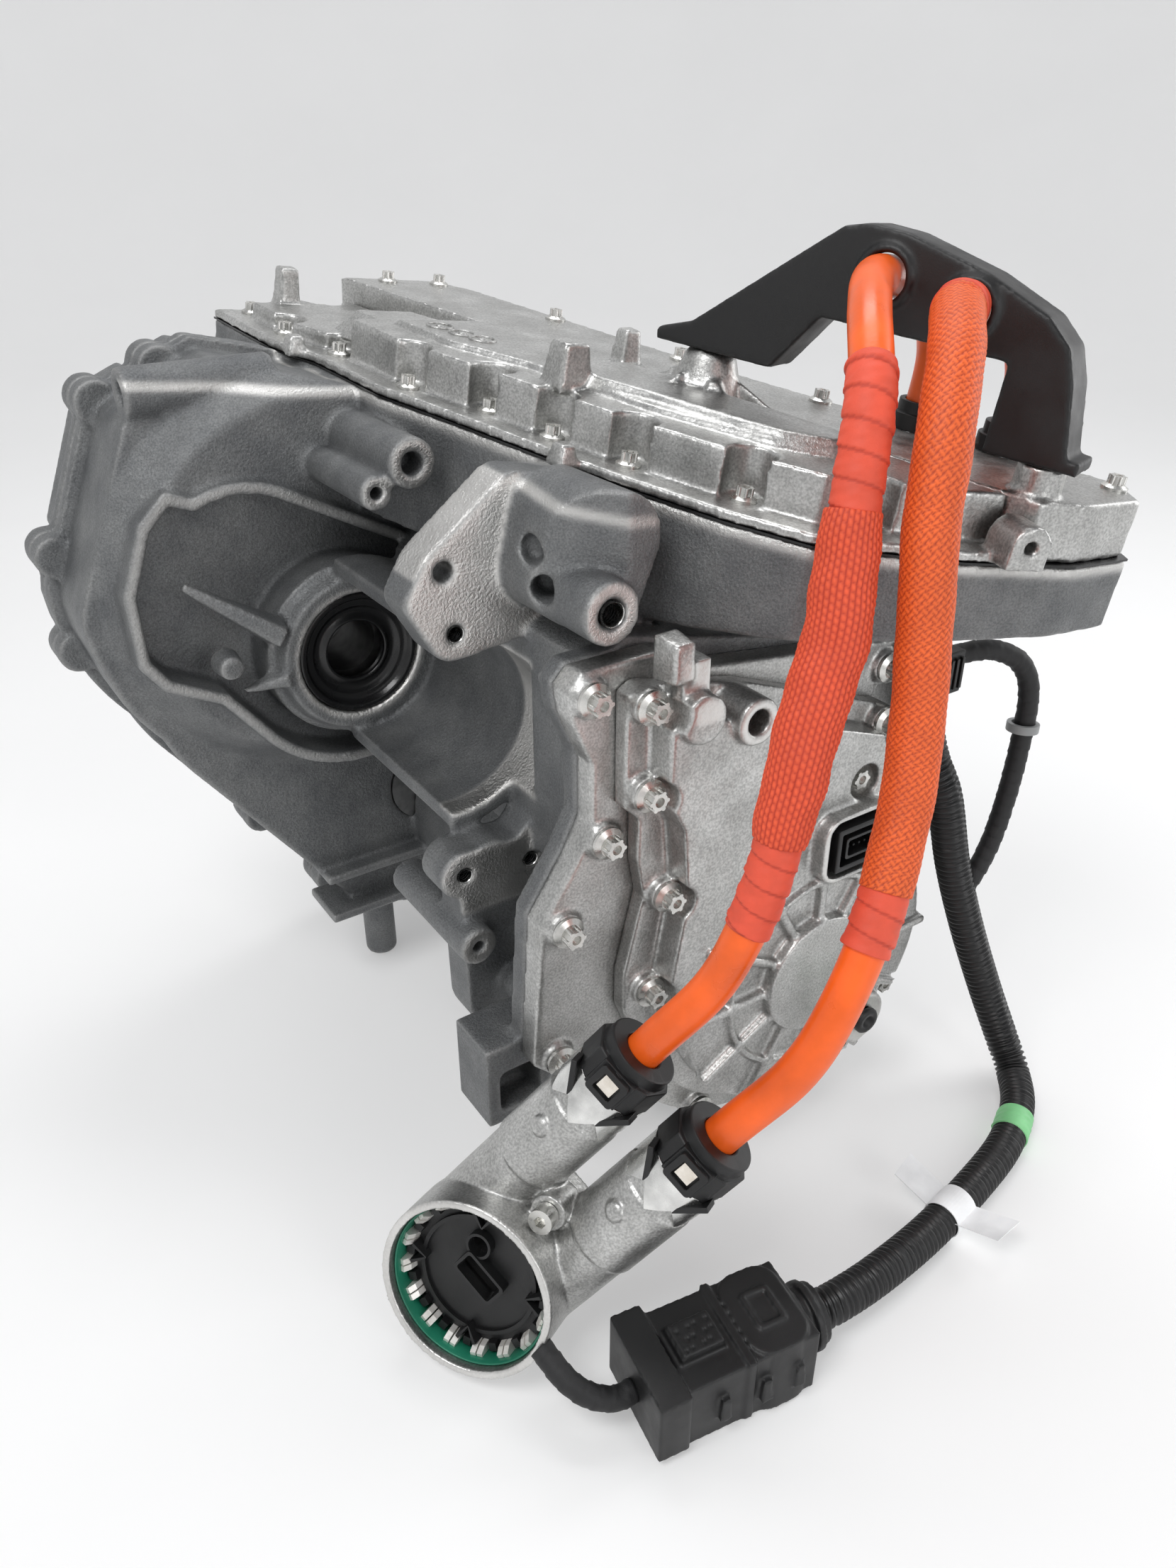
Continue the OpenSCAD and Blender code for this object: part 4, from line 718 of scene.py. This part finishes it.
def head_details():
    """Sleeves, rivets and the neck of the right-angle connector."""
    shapes = [prism([(-20, -38), (36, -43), (36, 43), (-20, 38)], SOCKET, -27, -1, 4)]
    for side in (-1, 1):
        rivet = SOCKET @ moved(84, side * PIPE_PITCH / 2, PIPE_Z) @ turn(-20, "X")
        shapes += [revolved([(17.5, 56), (20.3, 56), (20.3, 98), (17.5, 98)], pipe_place(side)),
                   revolved([(CORE_R, 18), (5, 18), (5, 21.4), (3.6, 22.6), (CORE_R, 23)], rivet, 24)]
    return shapes


def bracket_details():
    """Collars round the two cable holes of the bracket."""
    collar = [(10.3, 8), (13.5, 8), (13.5, 15), (10.3, 15)]
    return [revolved(collar, BRACKET @ moved(x, y, 0)) for x, y in ((84, 95), (124, 90))]


def plug_details():
    """Collars, shoulders, latch and ridges of the inline plug."""
    axis = PLUG @ moved(0, 0, PLUG_AXIS) @ turn(90, "Y")
    shoulder = PLUG @ moved(-20, 0, 0)
    shapes = [revolved([(11, -48), (17, -48), (17, -44), (11, -44)], axis),
              revolved([(11, -40), (17.5, -40), (19, -34), (11, -34)], axis),
              prism(rounded_box(34, 49, 12), shoulder, 1, 41.5, 2),
              block(PLUG, (-3, -23.4, 0.5), (1, 23.4, 41.4)),
              block(PLUG, (5, -10, 38), (29, 10, 43), 1),
              frame_of(rounded_box(15, 20, 2), rounded_box(11, 16, 1.5), shoulder, 40, 43)]
    shapes += [block(PLUG, (6 + 3.2 * k, -9, 42), (7.8 + 3.2 * k, 9, 45)) for k in range(7)]
    shapes += [block(PLUG, (x, 21, 12), (x + 6, 26, 26), 1) for x in (-30, -12, 10)]
    return shapes


def make_castings():
    casting("main_housing", CAST_GREY, 1.7, 6, tub_details(), housing_machined)
    casting("gearbox_cover", CAST_GREY, 1.8, 5, [], plain)
    casting("end_shield", CAST_SILVER, 1.3, 7, [], plain)
    casting("end_cover", CAST_SILVER, 1.2, 5, end_details(), cover_machined)
    casting("inverter_cover", CAST_SILVER, 1.2, 10, cover_details(), plain)
    lid_post = block(INVERTER, (82, -55, 20), (96, -41, 40), 3)
    casting("inverter_lid", CAST_SILVER, 1.5, 3, [lid_post], plain)
    casting("connector_head", CAST_SILVER, 0.9, 4, head_details(), head_machined)
    casting("cable_bracket", BLACK, 1.1, 12, bracket_details(), plain)
    casting("inline_plug", BLACK, 0.8, 3, plug_details(), plain)


# Cords
def smooth_route(points, step):
    """Evenly spaced points, in metres, on a smooth curve through the given millimetre points."""
    p = [Vector(q) for q in points]
    p = [2 * p[0] - p[1]] + p + [2 * p[-1] - p[-2]]
    dense = []
    for a, b, c, d in zip(p, p[1:], p[2:], p[3:]):
        for k in range(24):
            t = k / 24
            dense.append(0.5 * (2 * b + (c - a) * t + (2 * a - 5 * b + 4 * c - d) * t * t
                                + (3 * b - a - 3 * c + d) * t ** 3))
    dense.append(p[-2])
    run = np.concatenate([[0], np.cumsum([(b - a).length for a, b in zip(dense, dense[1:])])])
    wanted = np.linspace(0, run[-1], max(2, round(run[-1] / step) + 1))
    xyz = np.array([tuple(q) for q in dense])
    even = np.stack([np.interp(wanted, run, xyz[:, i]) for i in range(3)], axis=1)
    return [Vector(q) * MM for q in even], [float(s) for s in wanted]


def part_of(points, start, end, step):
    """The stretch of a route between two lengths along it, in millimetres."""
    route, run = smooth_route(points, step)
    keep = [i for i, s in enumerate(run) if start <= s <= end]
    return [route[i] for i in keep], [run[i] - run[keep[0]] for i in keep]


def tube(name, route, run, sides, radius, material, relief_painted_shade=None):
    """Sweep a tube; radius and painted shade of the relief depend on the length in millimetres and the
    angle in turns.
    """
    ends = route[:1] + route + route[-1:]
    ahead = [(after - before).normalized() for before, after in zip(ends, ends[2:])]
    side = ahead[0].orthogonal().normalized()
    verts, shade = [], []
    angles = [k / sides for k in range(sides)]
    for centre, way, s in zip(route, ahead, run):
        side = (side - way * side.dot(way)).normalized()
        up = way.cross(side)
        for a in angles:
            r = radius(s, a) * MM
            outward = math.cos(2 * math.pi * a) * side + math.sin(2 * math.pi * a) * up
            verts.append(centre + r * outward)
            shade.append(relief_painted_shade(s, a) if relief_painted_shade else 1.0)
    faces = []
    for row in range(0, (len(route) - 1) * sides, sides):
        for k in range(sides):
            after = (k + 1) % sides
            faces.append((row + k, row + after, row + sides + after, row + sides + k))
    last = (len(route) - 1) * sides
    faces += [tuple(range(sides - 1, -1, -1)), tuple(range(last, last + sides))]
    piece = new_piece(name, verts, faces, material)
    # painted shade: the relief is kept on the mesh for the cloth finishes to darken its low parts
    keep_values(piece.data, "relief_painted_shade", np.array(shade))
    return piece


def wave(s, a):
    """A gentle unevenness along and around a tube."""
    return math.sin(0.21 * s + 5 * a) * math.sin(0.083 * s + 1.7) + 0.5 * math.sin(0.47 * s - 12 * a)


def wrapped(radius, pitch, step, wrinkle):
    """Tape wound round a cable, each turn lapping over the last."""
    def profile(s, a):
        lap = (s / pitch + a) % 1
        return radius + step * lap + wrinkle * wave(3 * s, 2 * a)
    return profile


def lapped(pitch):
    """Painted shade of wound tape, darker along each lap where the lap's step would shade it."""
    def shade(s, a):
        lap = (s / pitch + a) % 1
        return 0.45 if lap < 0.1 else 1.0
    return shade


def braid_cell(s, a, strands, pitch):
    """Height of a strand in a braid, from 0 to 1."""
    u = strands * a + s / pitch
    v = strands * a - s / pitch
    over = (math.floor(u) + math.floor(v)) % 2
    return math.sin(math.pi * (v % 1 if over else u % 1))


def stitch_cell(s, a, columns, pitch):
    """Height of a stitch in knitted cloth, from 0 to 1."""
    u = columns * a
    shift = 0.5 * (math.floor(u) % 2)
    v = (s / pitch + shift + 0.3 * (u % 1)) % 1
    return abs(math.sin(math.pi * (u % 1))) ** 0.6 * math.sin(math.pi * v) ** 0.6


def cable(name, points, node):
    """One high-voltage cable: its orange jacket along the whole route."""
    route, run = smooth_route(points, 4)
    piece = tube(name, route, run, 28, lambda s, a: CABLE_D / 2, ORANGE)
    ride(piece)
    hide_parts(node)
    return piece


def tape_on(name, points, start, end, radius, material=TAPE, pitch=11):
    """Tape wound on a route between two lengths along it, in millimetres."""
    route, run = part_of(points, start, end, 0.6)
    wound = tube(name, route, run, 56, wrapped(radius, pitch, 0.8, 0.2), material, lapped(pitch))
    return ride(wound)


def knit_on(name, points, start, end):
    """Loose knitted sleeve that bulges between its taped ends."""
    route, run = part_of(points, start, end, 0.7)
    length = run[-1]

    def stitch(s, a):
        return stitch_cell(s, a, KNIT_COLUMNS, KNIT_PITCH)

    def bulge(s, a):
        slack = KNIT_SLACK * math.sin(math.pi * min(1, max(0, s / length))) ** 0.5
        return KNIT_R + slack + 0.5 * wave(0.7 * s, a) + KNIT_RELIEF * stitch(s, a)

    return ride(tube(name, route, run, 160, bulge, KNIT, stitch))


def braid_on(name, points, start, end):
    """Braided sleeve drawn over the cable."""
    route, run = part_of(points, start, end, 0.7)

    def strand(s, a):
        return braid_cell(s, a, BRAID_STRANDS, BRAID_PITCH)

    def swell(s, a):
        return BRAID_R + 0.25 * wave(0.5 * s, a) + BRAID_RELIEF * strand(s, a)

    return ride(tube(name, route, run, 126, swell, BRAID, strand))


def make_cables():
    """Both high-voltage cables with their tapes and sleeves, and the fixed ends behind the bracket."""
    left = [tape_on("left_upper_tape", LEFT_ROUTE, 98, 160, 9.8),
            knit_on("left_knit_sleeve", LEFT_ROUTE, 156, 292),
            tape_on("left_lower_tape", LEFT_ROUTE, 288, 333, 9.9)]
    right = [tape_on("right_upper_tape", RIGHT_ROUTE, 14, 26, 11.2),
             braid_on("right_braid_sleeve", RIGHT_ROUTE, 22, 288),
             tape_on("right_lower_tape", RIGHT_ROUTE, 284, 314, 10.2)]
    cable("left_cable_jacket", LEFT_ROUTE, "left_cable")
    cable("right_cable_jacket", RIGHT_ROUTE, "right_cable")
    for name, points in [("left_cable_end", STUB_LEFT), ("right_cable_end", STUB_RIGHT)]:
        route, run = smooth_route(points, 4)
        ride(tube(name, route, run, 28, lambda s, a: CABLE_D / 2, ORANGE))
    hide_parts("cable_ends")


def corrugation(s, a):
    """Radius of the ridged harness tube."""
    phase = math.cos(2 * math.pi * s / RIDGE_PITCH)
    return HARNESS_D / 2 - RIDGE_H + RIDGE_H * max(-1, min(1, 2.2 * phase))


def label_flags(route, run):
    """Two blank white flags of a folded label on the harness."""
    i = next(k for k, s in enumerate(run) if s > FLAGS_AT)
    way = (route[i + 1] - route[i - 1]).normalized()
    side = way.cross(Vector((0, 0, 1))).normalized()
    frame_here = Matrix((side, way, side.cross(way))).transposed().to_4x4()
    frame_here.translation = route[i]
    wing = [(8, -9), (35, -11), (33, 8), (8, 9)]
    loop = [(10.2, -9), (10.2, 9), (10.7, 9), (10.7, -9)]
    flags = joined(prism(wing, frame_here @ turn(-14, "Y"), 1, 1.5),
                   prism([(-x, y) for x, y in reversed(wing)], frame_here @ turn(16, "Y"), 1, 1.5),
                   revolved(loop, frame_here @ turn(-90, "X"), 40))
    return ride(new_piece("blank_label", *flags, LABEL, False))


def make_harness():
    """Ridged tube to the plug, its branch and the pigtail."""
    route, run = smooth_route(HARNESS_ROUTE, 0.6)
    conduit = tube("harness_conduit", route, run, 32, corrugation, TUBE_BLACK)
    ride(conduit)
    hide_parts("harness_tube")
    band = tape_on("green_band", HARNESS_ROUTE, 309, 327, HARNESS_D / 2 + 0.1, GREEN_TAPE, 40)
    collar = tape_on("plug_end_tape", HARNESS_ROUTE, 440, 500, HARNESS_D / 2 - 1.2, BLACK_TAPE, 9)
    flags = label_flags(route, run)
    winding = wrapped(BRANCH_D / 2 - 0.6, BRANCH_LAP, 0.5, 0.1)
    route, run = smooth_route(BRANCH_ROUTE, 1.2)
    branch = tube("harness_branch_wrap", route, run, 28, winding, BLACK_TAPE, lapped(BRANCH_LAP))
    ride(branch)
    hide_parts("harness_branch")
    route, run = smooth_route(PIGTAIL_ROUTE, 1.2)
    pigtail = tube("plug_pigtail_wrap", route, run, 28, winding, BLACK_TAPE, lapped(BRANCH_LAP))
    ride(pigtail)
    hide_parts("plug_pigtail")


# Trim: seals, threads, contacts and small mouldings
def make_seal():
    """Dished lip seal in the output bore."""
    profile = [(36.4, -9.8), (36.4, -0.5), (35.8, 0), (33.4, 0), (32.5, -0.6), (31.8, -3), (29.6, -4.4),
               (27.8, -4.2), (26.8, -4.8), (25.8, -6.4), (21.6, -7.2), (19.6, -5), (18.3, -4.8),
               (17.7, -5.8), (17.7, -9.8)]
    seal = ride(new_piece("output_lip_seal", *revolved(profile, FRONT, 96), BLACK_GLOSS))
    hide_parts("output_seal")


def make_threads():
    """Threads of the saddle holes and the mount boss."""
    holes = [thread(facing_front(x, SADDLE_Y, z), 4.25, 21) for x, z in SADDLE_HOLES]
    holes.append(thread(facing_front(MOUNT_BOSS[0], MOUNT_FACE_Y, MOUNT_BOSS[1]), 6, 24, 1.75))
    ride(new_piece("tapped_holes", *joined(*holes), MACHINED))


def make_dials():
    """Three plain raised dials on the inverter cover."""
    shapes = []
    for x, y in ((8.9, 16.6), (13.5, -0.4), (18.4, -14.1)):
        dial = INVERTER @ moved(x, y, 25.2) @ turn(30, "Z")
        shapes += [revolved([(6.3, 0), (7.8, 0), (7.5, 1.3), (6.6, 1.3)], dial, 40),
                   revolved([(CORE_R, 0), (2.4, 0), (2.1, 1.1), (CORE_R, 1.1)], dial, 24)]
    ride(new_piece("cover_dials", *joined(*shapes), CAST_SILVER))


def make_contacts():
    """Rolled springs, guides, green sleeve and terminal well inside the socket."""
    strip = [(39.4, -3.5), (39.4, 13.5), (37.6, 14), (35.4, 10.5), (34.6, 6.5), (35.4, 1.5),
             (37.6, -3.5)]
    springs, guides = [], []
    step = 360 / CONTACTS
    for k in range(CONTACTS):
        upright = SOCKET @ turn(step * k, "Z") @ turn(90, "X")
        springs += [prism(strip, upright, 0.4, 3.2), prism(strip, upright, -3.2, -0.4)]
        between = SOCKET @ turn(step * (k + 0.5), "Z")
        guides.append(block(between, (33.5, -2.4, -4), (38.6, 2.4, 10), 0.6))
        if k % 4 == 1:
            guides += [rib(between @ moved(27, 0, 8) @ turn(a, "Z"), 9, 3, 3, 4) for a in (-32, 32)]
    well = SOCKET @ moved(2.5, -1, 0)
    guides += [frame_of(rounded_box(14, 25, 2), rounded_box(11, 22, 1.5), well, 4, 12),
               revolved([(5.2, 4), (6.6, 4), (6.6, 11), (5.2, 11)], SOCKET @ moved(14, 10, 0), 32),
               revolved([(29, 4), (31, 4), (31, 8), (29, 8)], SOCKET, 64)]
    rolled = ride(new_piece("rolled_springs", *joined(*springs), SPRING, False))
    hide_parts("contact_springs")
    ride(new_piece("socket_guides", *joined(*guides), BLACK, False))
    sleeve = [(40.8, -2), (40.8, 17), (40.2, 17.6), (39.7, 17), (39.4, -2)]
    green = ride(new_piece("green_sleeve", *revolved(sleeve, SOCKET, 96), GREEN_RUBBER))
    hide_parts("connector_seal")


def zigzag_band(place, radius, start, end, teeth, depth, steps=72):
    """Thin sheet collar round the place's own Z, with one zigzag edge."""
    verts = []
    for r in (radius, radius + 0.9):
        for k in range(steps):
            a = 2 * math.pi * k / steps
            edge = start + depth * abs(2 * (teeth * k / steps % 1) - 1)
            verts += [place @ at(r * math.cos(a), r * math.sin(a), h) for h in (edge, end)]
    faces = []
    for k in range(steps):
        a, b = 2 * k, 2 * ((k + 1) % steps)
        c, d = a + 2 * steps, b + 2 * steps
        faces += [(a, a + 1, b + 1, b), (c, d, d + 1, c + 1), (a, b, d, c), (a + 1, c + 1, d + 1, b + 1)]
    return verts, faces


def make_cap_trim():
    """Sheet bands, latch windows and chevrons at the cable end of the connector."""
    bands, frames, plates = [], [], []
    for side in (-1, 1):
        here = SOCKET @ moved(0, side * PIPE_PITCH / 2, 0)
        window = here @ moved(126, 0, 0)
        bands.append(zigzag_band(pipe_place(side), PIPE_R + 0.3, 97, 118.5, 7, 9))
        frames += [block(here, (118, -10, -2), (135, 10, 8), 1),
                   frame_of(rounded_box(15, 16, 2), rounded_box(9.5, 10, 1), window, 7, 10.5)]
        for lean in (-1, 1):
            turned = here @ moved(117, lean * 16, 1) @ turn(lean * 34, "Z")
            frames.append(block(turned, (-14, -1.5, -4), (4, 1.5, 5), 0.4))
        plates.append(block(here, (122, -4.4, 7.6), (130, 4.4, 8.8), 0.6))
    ride(bevelled(new_piece("sheet_bands", *joined(*bands), MACHINED), 0.2))
    ride(bevelled(new_piece("cap_latches", *joined(*frames), BLACK, False), 0.4))
    ride(new_piece("cap_windows", *joined(*plates), NICKEL, False))


def make_cover_trim():
    """Plug in its boss, and the mouldings of the signal sockets."""
    plug = [(CORE_R, -6), (6.8, -6), (6.8, 1), (8.4, 1.4), (8.4, 3.6), (7.4, 4.8), (4.2, 4.8), (3.6, 2),
            (CORE_R, 1.6)]
    boss = facing_front(COVER_PLUG[0], COVER_Y, COVER_PLUG[1])
    ride(new_piece("boss_plug", *revolved(plug, boss, 32), BLACK))
    pocket = facing_front(POCKET[0], -236, POCKET[1])
    shapes = [frame_of(rounded_box(23, 13, 2), rounded_box(19.5, 9.5, 1.5), pocket, -1, 9.5)]
    for x in (-6, -2, 2, 6):
        shapes += [block(pocket, (x - 0.7, y - 0.7, -1), (x + 0.7, y + 0.7, 6)) for y in (-2, 2)]
    side = facing_front(219, -235, 4)
    shapes += [block(side, (2 + 4 * k, 3, -1), (4 + 4 * k, 21, 2), 0.3) for k in range(5)]
    shapes.append(block(side, (-2, 24, -22), (16, 27, -6), 1))
    ride(bevelled(new_piece("socket_mouldings", *joined(*shapes), BLACK, False), 0.3))


def make_trim():
    make_seal()
    make_threads()
    make_dials()
    make_contacts()
    make_cap_trim()
    make_cover_trim()


def dress_nodes():
    """Finish and edge rounding, in millimetres, of every solid that shows itself."""
    finishes = [
        (ZINC, 0.35, ("cover_bolts", "lid_screws", "end_cover_bolts", "end_shield_bolts",
                      "gearbox_bolts", "bracket_bolts")),
        (ZINC, 0.4, ("oil_plugs", "coolant_pipe", "connector_screw")),
        (DARK_STEEL, 0, ("rotor_bearings", "layshaft_bearings", "differential_bearings", "rotor_shaft",
                         "drive_pinion", "layshaft", "layshaft_gear", "ring_gear", "side_gears",
                         "planet_gears", "planet_pin", "sensor_wheel", "differential_case",
                         "stator_core", "rotor_core")),
        (COPPER, 0, ("stator_windings", "slip_rings", "busbars")),
        (BLACK_GLOSS, 0, ("rear_seal", "rotor_seal", "inverter_gasket")),
        (BLACK, 0.5, ("breather", "brush_holder", "cable_glands", "power_module", "capacitor",
                      "connector_insulator")),
        (BLACK, 0.9, ("connector_caps", "signal_socket", "plug_lock")),
        (GREY_PLASTIC, 0.4, ("harness_tie",)),
        (BOARD, 0, ("control_board", "position_sensor")),
    ]
    for material, bevel, nodes in finishes:
        for node in nodes:
            dress(node, material, bevel)


make_camera()
make_studio()
make_floor()
make_cables()
make_harness()
make_castings()
make_trim()
dress_nodes()
